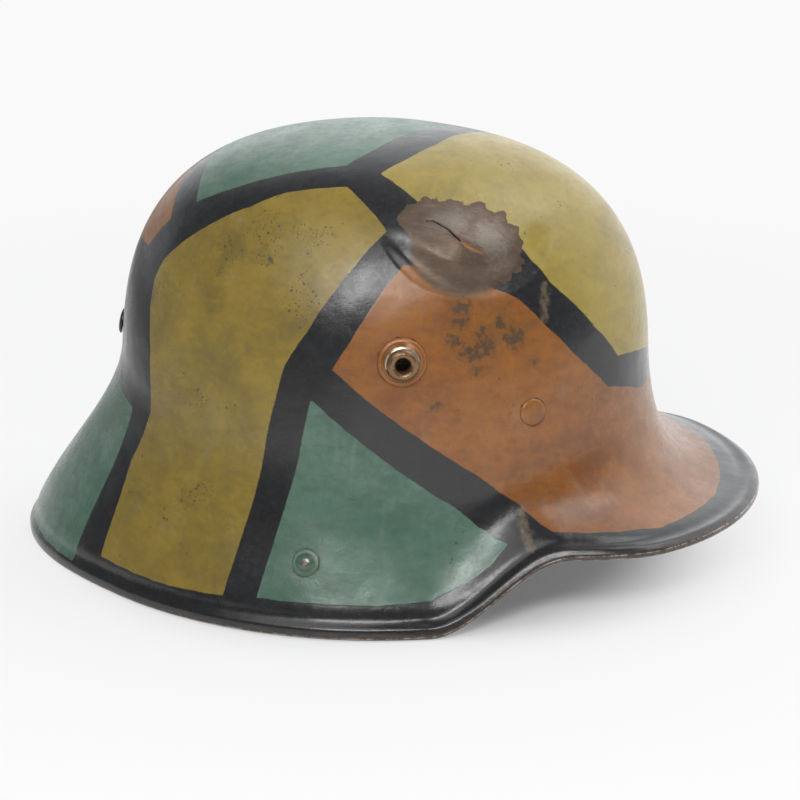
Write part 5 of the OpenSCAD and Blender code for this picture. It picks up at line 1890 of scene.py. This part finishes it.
@dataclass
class Ribbon:
    """A leather strip along a path in the chinstrap's own frame, in millimetres.

    Attributes:
        path: Points of its middle line.
        width: Its width.
        thick: Its thickness.
        closed: Whether it is a loop.
        tip: The length over which its first end narrows.
        holes: Where round holes lie along it.
        slot: Where a long slot starts and ends.
    """

    path: Array
    width: float
    thick: float
    closed: bool = False
    tip: float = 0.0
    holes: tuple[float, ...] = ()
    slot: tuple[float, float] | None = None
    hole_radius: float = 1.6
    slot_half: float = 2.0

    def lay(self, place: Callable[[Array, Array], Array]) -> tuple[Mesh, Array]:
        """Cuts the strip flat and lays it along its path.

        Args:
            place: Takes points of the path and distances across, and gives places in millimetres.

        Returns:
            The mesh and each vertex's distance from the nearest edge.
        """
        run = tape_along(self.path)
        columns, rows = int(round(run[-1])), int(round(self.width))
        bm = grid(columns, rows)
        bmesh.ops.transform(bm, matrix=Matrix.Diagonal((run[-1], self.width, 1, 1))
                            @ Matrix.Translation((0, -0.5, 0)), verts=bm.verts)
        for hole in self.holes:
            punch(bm, (hole, 0), self.hole_radius)
        if self.slot:
            inside = [f for f in bm.faces if self.slot[0] < f.calc_center_median().x < self.slot[1]
                      and abs(f.calc_center_median().y) < self.slot_half]
            bmesh.ops.delete(bm, geom=inside, context="FACES")
        flat = coordinates(bm)
        along, across = flat[:, 0], flat[:, 1]
        edge = self.width / 2 - np.abs(across)
        if self.tip:
            s = np.clip(along / self.tip, 0, 1)
            across = across * np.maximum(np.sqrt(1 - (1 - s) ** 2.2), 0.12)
            edge = np.minimum(edge, along)
        middle = np.stack([np.interp(along, run, self.path[:, k]) for k in (0, 1)], -1)
        move_to(bm, place(middle, across))
        if self.closed:
            bmesh.ops.remove_doubles(bm, verts=bm.verts, dist=1e-6)
            edge = edge[:len(bm.verts)]
        return bm, edge


@dataclass
class Chinstrap:
    """The leather chinstrap: two straps, a roller buckle, a keeper and two riveted ends."""

    form: ShellForm = FORM
    width: float = 18.0
    thick: float = 2.2
    drop: float = 113.0
    chin_radius: float = 58.0
    lean: float = 35.0
    wire: float = 1.3
    roller: float = 2.3
    buckle_long: float = 14.0
    bend: float = 20.0
    start: float = 8.0
    heel: float = 34.0
    tail: float = 28.0
    fold: float = 24.0
    keeper: float = -17.0
    plate: float = 1.2
    post: float = 6.0
    lay_gap: float = 0.1
    hinge_gap: float = 0.05
    lug_depth: float = 2.6

    def __post_init__(self) -> None:
        """Works out the frame and the leaning line as a strap maker would set them out."""
        foot = self.form.skin(CHIN_RIVET.turn, CHIN_RIVET.height)
        self.hinge = foot - self.form.skin_normal(CHIN_RIVET.turn, CHIN_RIVET.height) * self.lug_depth
        self.rest = math.asin((self.hinge.z - self.width / 2 - 0.25) / (self.drop + self.thick / 2))
        self.side = self.hinge.x - 3.5 - self.post / 2 - self.plate / 2 - self.thick / 2
        a = math.radians(self.lean)
        self.sin, self.cos = math.sin(a), math.cos(a)
        chin = (self.chin_radius * self.cos, self.drop - self.chin_radius + self.chin_radius * self.sin)
        self.bend_y = chin[1] - (self.side - chin[0]) / self.sin * self.cos
        self.bar = -self.thick / 2
        self.under = self.roller + 0.3 + self.thick / 2
        self.over = self.wire + self.hinge_gap + self.thick + self.lay_gap + self.thick / 2

    def placed(self, points: Array) -> Array:
        """Turns places in the strap's frame into the shell's, in millimetres."""
        c, s = math.cos(-self.rest), math.sin(-self.rest)
        x, y, z = points[:, 0], points[:, 1], points[:, 2]
        return np.stack([x, self.hinge.y + y * c - z * s, self.hinge.z + y * s + z * c], -1)

    def on_edge(self, middle: Array, across: Array) -> Array:
        """Places a strip that stands on its edge."""
        return self.placed(np.column_stack([middle, across]))

    def leaning(self, along: Array, out: Array) -> Array:
        """Places points along the leaning left side, from the buckle's heel bar."""
        a, w = self.heel + np.asarray(along, float), np.asarray(out, float)
        return np.stack([self.side - a * self.sin + w * self.cos,
                         self.bend_y + a * self.cos + w * self.sin], -1)

    def bent(self) -> Array:
        """Follows a strap from its riveted end to the leaning line."""
        cut = self.bend * math.tan(math.radians(self.lean) / 2)
        turn = np.radians(np.linspace(0, self.lean, 14))
        rounded_off = arc(self.side - self.bend, self.bend_y - cut, self.bend, turn)
        return np.vstack([[self.side, self.start], rounded_off])

    def short_path(self) -> tuple[Array, int, int]:
        """Follows the short strap to the heel bar, round it and back.

        Returns:
            The path, and the points between which the slot for the tongue lies.
        """
        r, edge = self.wire + self.hinge_gap + self.thick / 2, math.radians(80)
        rise = np.linspace(-7, r * math.cos(edge), 8)[:-1]
        out = keyed(rise, (-7, r * math.cos(edge)), (0, self.bar + r * math.sin(edge)))
        hook = np.vstack([np.stack([rise, out], -1), arc(0, self.bar, r, np.radians(np.linspace(80, -90, 28))),
                          [[-3.5, self.bar - r], [-7.0, self.bar - r * 0.55], [-9, -self.thick],
                           [-self.fold, -self.thick]]])
        first = self.bent()
        return np.vstack([first, self.leaning(hook[:, 0], hook[:, 1])]), len(first) + 3, len(first) + 36

    def tail_path(self) -> Array:
        """Follows the long strap's tail over the heel bar and under the roller."""
        turn = math.asin((self.over + self.under) / self.buckle_long)
        tail, share = self.thick + self.lay_gap, np.linspace(0, 1, 9) * turn
        rise, down = np.linspace(-12, 0, 9)[:-1], np.linspace(2, 24, 9)
        points = np.vstack([
            [[-self.tail, tail]], np.stack([rise, keyed(rise, (-12, 0), (tail, self.bar + self.over))], -1),
            arc(0, self.bar, self.over, math.pi / 2 - share),
            arc(self.buckle_long, self.bar, self.under, 1.5 * math.pi - turn + share),
            np.stack([self.buckle_long + down, keyed(down, (0, 24), (self.bar - self.under, 0))], -1)])
        return self.leaning(points[:, 0], points[:, 1])

    def long_path(self) -> Array:
        """Follows the long strap from its tail round the chin to the right-hand end."""
        turn = np.radians(np.linspace(self.lean, 180 - self.lean, 40))
        chin = arc(0, self.drop - self.chin_radius, self.chin_radius, turn)
        return np.vstack([self.tail_path(), chin, (self.bent() * np.array([-1, 1]))[::-1]])

    def build(self) -> None:
        """Makes the leather pieces and sews the short strap's fold."""
        path, first, last = self.short_path()
        run, threads = tape_along(path), Threads()
        self.strap("short", Ribbon(path, self.width, self.thick - 0.1,
                                   slot=(run[first], run[min(last, len(run) - 3)])))
        self.strap("long", Ribbon(self.long_path(), self.width, self.thick - 0.1, tip=9.0,
                                  holes=(5.5, 52.0, 63.0), slot=(27.0, 42.0)))
        self.loop()
        for along in (-20.5, -12.5):
            across = np.linspace(-self.width / 2 + 1.5, self.width / 2 - 1.5, 20)
            spot = self.leaning(np.full(20, along), np.full(20, -1.5 * self.thick))
            inward = self.leaning([1.0], [-1.0]) - self.leaning([1.0], [0.0])
            ahead = self.placed(np.array([[*inward[0], 0.0]])) - self.placed(np.zeros((1, 3)))
            threads.sew(self.on_edge(spot, across), np.repeat(ahead, 20, axis=0))
        threads.finish("strap_stitches", "chinstrap")

    def strap(self, word: str, ribbon: Ribbon) -> None:
        """Makes one strap from its cut and path."""
        self.finished(f"leather_strap_{word}", f"strap_{word}", *ribbon.lay(self.on_edge), ribbon.thick)

    def loop(self) -> None:
        """Makes the keeper, a loop round both layers of the strap."""
        low, high = -1.5 * self.thick - self.lay_gap - 0.7, self.thick * 1.5 + 2 * self.lay_gap + 0.7
        half = self.width / 2 + 0.9
        corners = np.array([(low, 0), (low, half), (high, half), (high, -half), (low, -half), (low, 0)])
        ring = []
        for before, here, after in zip(corners[:-1], corners[1:-1], corners[2:]):
            back, on = ((end - here) / np.linalg.norm(end - here) for end in (before, after))
            for s in np.linspace(0, 1, 6):
                ring.append(here + 1.4 * ((1 - s) ** 2 * back + s * s * on))

        def place(middle: Array, across: Array) -> Array:
            """Places the loop round the leaning strap."""
            lean = self.leaning(self.keeper + across, middle[:, 0])
            return self.placed(np.column_stack([lean, middle[:, 1]]))

        ribbon = Ribbon(np.vstack([[low, 0], ring, [low, 0]]), 8.0, 1.3, closed=True)
        self.finished("leather_keeper", "strap_keeper", *ribbon.lay(place), ribbon.thick)

    @staticmethod
    def finished(name: str, node: str, bm: Mesh, edge: Array, thick: float) -> None:
        """Gives a strip its thickness, its rounded edges and its leather.

        Args:
            name: The piece's name.
            node: The solid that it stands for.
            bm: The strip, in place.
            edge: Each vertex's distance from the nearest edge.
            thick: Its thickness in millimetres.
        """
        bmesh.ops.recalc_face_normals(bm, faces=bm.faces)
        piece = Piece(name, bm, "chinstrap", "strap_leather", [node])
        piece.number("edge_gap", edge).thicken(thick, 0.35).dress(STRAP_LEATHER)



@dataclass
class KeptMetal:
    """Small metal pieces whose solids are already right, and only need their finish."""

    groups: tuple[tuple[WornMetal, tuple[str, ...]], ...] = (
        (STEEL, ("vent_washer_left", "vent_washer_right", "liner_washer_front_left",
                 "liner_washer_front_right", "liner_washer_rear", "strap_lug_left", "strap_lug_right")),
        (BUCKLE, ("strap_end_left", "strap_end_right", "buckle_frame")),
        (BRASS, ("end_rivet_left", "end_rivet_right", "buckle_roller", "buckle_tongue")))

    def build(self) -> None:
        """Dresses every kept solid."""
        for finish, nodes in self.groups:
            material = Cached.of(finish)
            for node in nodes:
                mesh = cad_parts[node].data
                mesh.materials.clear()
                mesh.materials.append(material)
                LOG.info("%s: finish %s", node, finish.name)


@dataclass
class StudioSet:
    """The plain floor, the soft light and the camera."""

    target: Vector = field(default_factory=lambda: Vector((0, -0.00495, 0.0571)))
    distance: float = 1.032
    azimuth: float = 11.2
    elevation: float = 18.5
    lens: float = 114.84
    floor_colour: Colour = (0.8, 0.8, 0.8)
    dim: float = 0.17
    bright: float = 1.7

    def build(self) -> None:
        """Sets the stage."""
        self.camera()
        self.floor()
        self.lamp("window", Vector((-0.88, 0.24, 1.06)), (1.0, 0.85), 4.7)
        self.lamp("strip", Vector((-0.94, -0.12, 0.79)), (0.76, 0.24), 6.4, 21.0)
        self.lamp("key", Vector((0.14, -0.57, 1.1)), (0.66, 0.56), 3.3)
        self.world()

    def camera(self) -> None:
        """Looks from the wearer's right, a little to the front and above."""
        data = bpy.data.cameras.new("view")
        data.lens, data.sensor_width = self.lens, 36
        a, e = math.radians(self.azimuth), math.radians(self.elevation)
        back = Vector((-math.cos(a) * math.cos(e), -math.sin(a) * math.cos(e), math.sin(e)))
        camera = added("view", data)
        camera.location = self.target + back * self.distance
        camera.rotation_euler = (-back).to_track_quat("-Z", "Y").to_euler()
        bpy.context.scene.camera = camera

    @staticmethod
    def shown(g: Graph) -> Link:
        """Gives 1 for rays from the camera, from gloss and through glass."""
        path = g.add("LightPath")
        camera, gloss, through = (Link(g, path.outputs[f"Is {kind} Ray"])
                                  for kind in ("Camera", "Glossy", "Transmission"))
        return camera.most(gloss).most(through)

    def floor(self) -> None:
        """Lays a wide pale floor that looks white to the camera and keeps the helmet's shadow."""
        bm = bmesh.new()
        bmesh.ops.create_grid(bm, x_segments=2, y_segments=2, size=20)
        floor = added("floor", bm)
        g = Graph("floor_paper")
        tint = g.mix(self.floor_colour, tuple(0.98 * c for c in self.floor_colour), g.noise(3, 2))
        paper = g.add("BsdfDiffuse", None, {"Color": tint})
        left, gloss = g.axis(1), g.read("LightPath", output="Is Glossy Ray")
        glow = g.add("Emission", None, {"Color": (0.96, 0.96, 0.96),
                                        "Strength": gloss * (0.45 - left.rise(-0.1, 0.7, 1.1)) + 1.0})
        away = g.read("VectorMath", {"operation": "LENGTH"}, {0: g.here}, "Value")
        share = self.shown(g) * (away.rise(0.09, 0.14, 0.6) + away.rise(0.2, 0.7, 0.22) + 0.14)
        both = g.add("MixShader", None, {0: share, 1: paper.outputs[0], 2: glow.outputs[0]})
        floor.data.materials.append(g.close(both.outputs[0]))

    def lamp(self, name: str, place: Vector, size: tuple[float, float], power: float,
             roll: float = 0.0) -> None:
        """Hangs one soft box that faces the helmet.

        Args:
            name: Its name.
            place: Where it hangs, in metres.
            size: Its width and height.
            power: Its power in watts.
            roll: How far it is turned about its own axis, in degrees.
        """
        data = bpy.data.lights.new(name, "AREA")
        data.shape, data.energy = "RECTANGLE", power
        data.size, data.size_y = size
        lamp = added(name, data)
        facing = (self.target - place).to_track_quat("-Z", "Y").to_matrix().to_4x4()
        lamp.matrix_world = Matrix.Translation(place) @ facing @ Matrix.Rotation(math.radians(roll), 4, "Z")

    def world(self) -> None:
        """Lights the room: a bright backdrop behind and above it, white at the horizon, dim elsewhere."""
        g = Graph("studio", room=True)
        bpy.context.scene.world = g.owner
        way = g.add("SeparateXYZ", None, {0: g.add("TexCoord").outputs["Generated"]})
        x, y, z = (Link(g, way.outputs[i]) for i in range(3))
        behind = (x * 0.8 - y * 0.28 + z * 0.3).rise(0.12, 0.7, self.bright) * (1 - z.rise(0.7, 0.95, 0.5))
        horizon = (z.rise(0.16, 0.07, 0.5) * y.rise(0.7, 0.0)).most(z.rise(0.05, 0.01, 0.95)) \
            .most((x * 0.6 + y * 0.8).rise(0.8, 0.97, 0.7) * z.rise(0.5, 0.2))
        room = g.add("Background", None, {"Color": (0.96, 0.98, 1.0),
                                          "Strength": behind.most(horizon).most(self.dim)})
        g.close(room.outputs[0], "OutputWorld")


def main() -> None:
    """Builds the helmet's pieces in order."""
    logging.basicConfig(level=logging.INFO, format="%(name)s %(message)s")
    bpy.context.scene.view_settings.view_transform = "Standard"
    StudioSet().build()
    Shell().build()
    VentLugs().build()
    Rivets().build()
    Band().build()
    Pads().build()
    Chinstrap().build()
    KeptMetal().build()


if __name__ == "__main__":
    main()
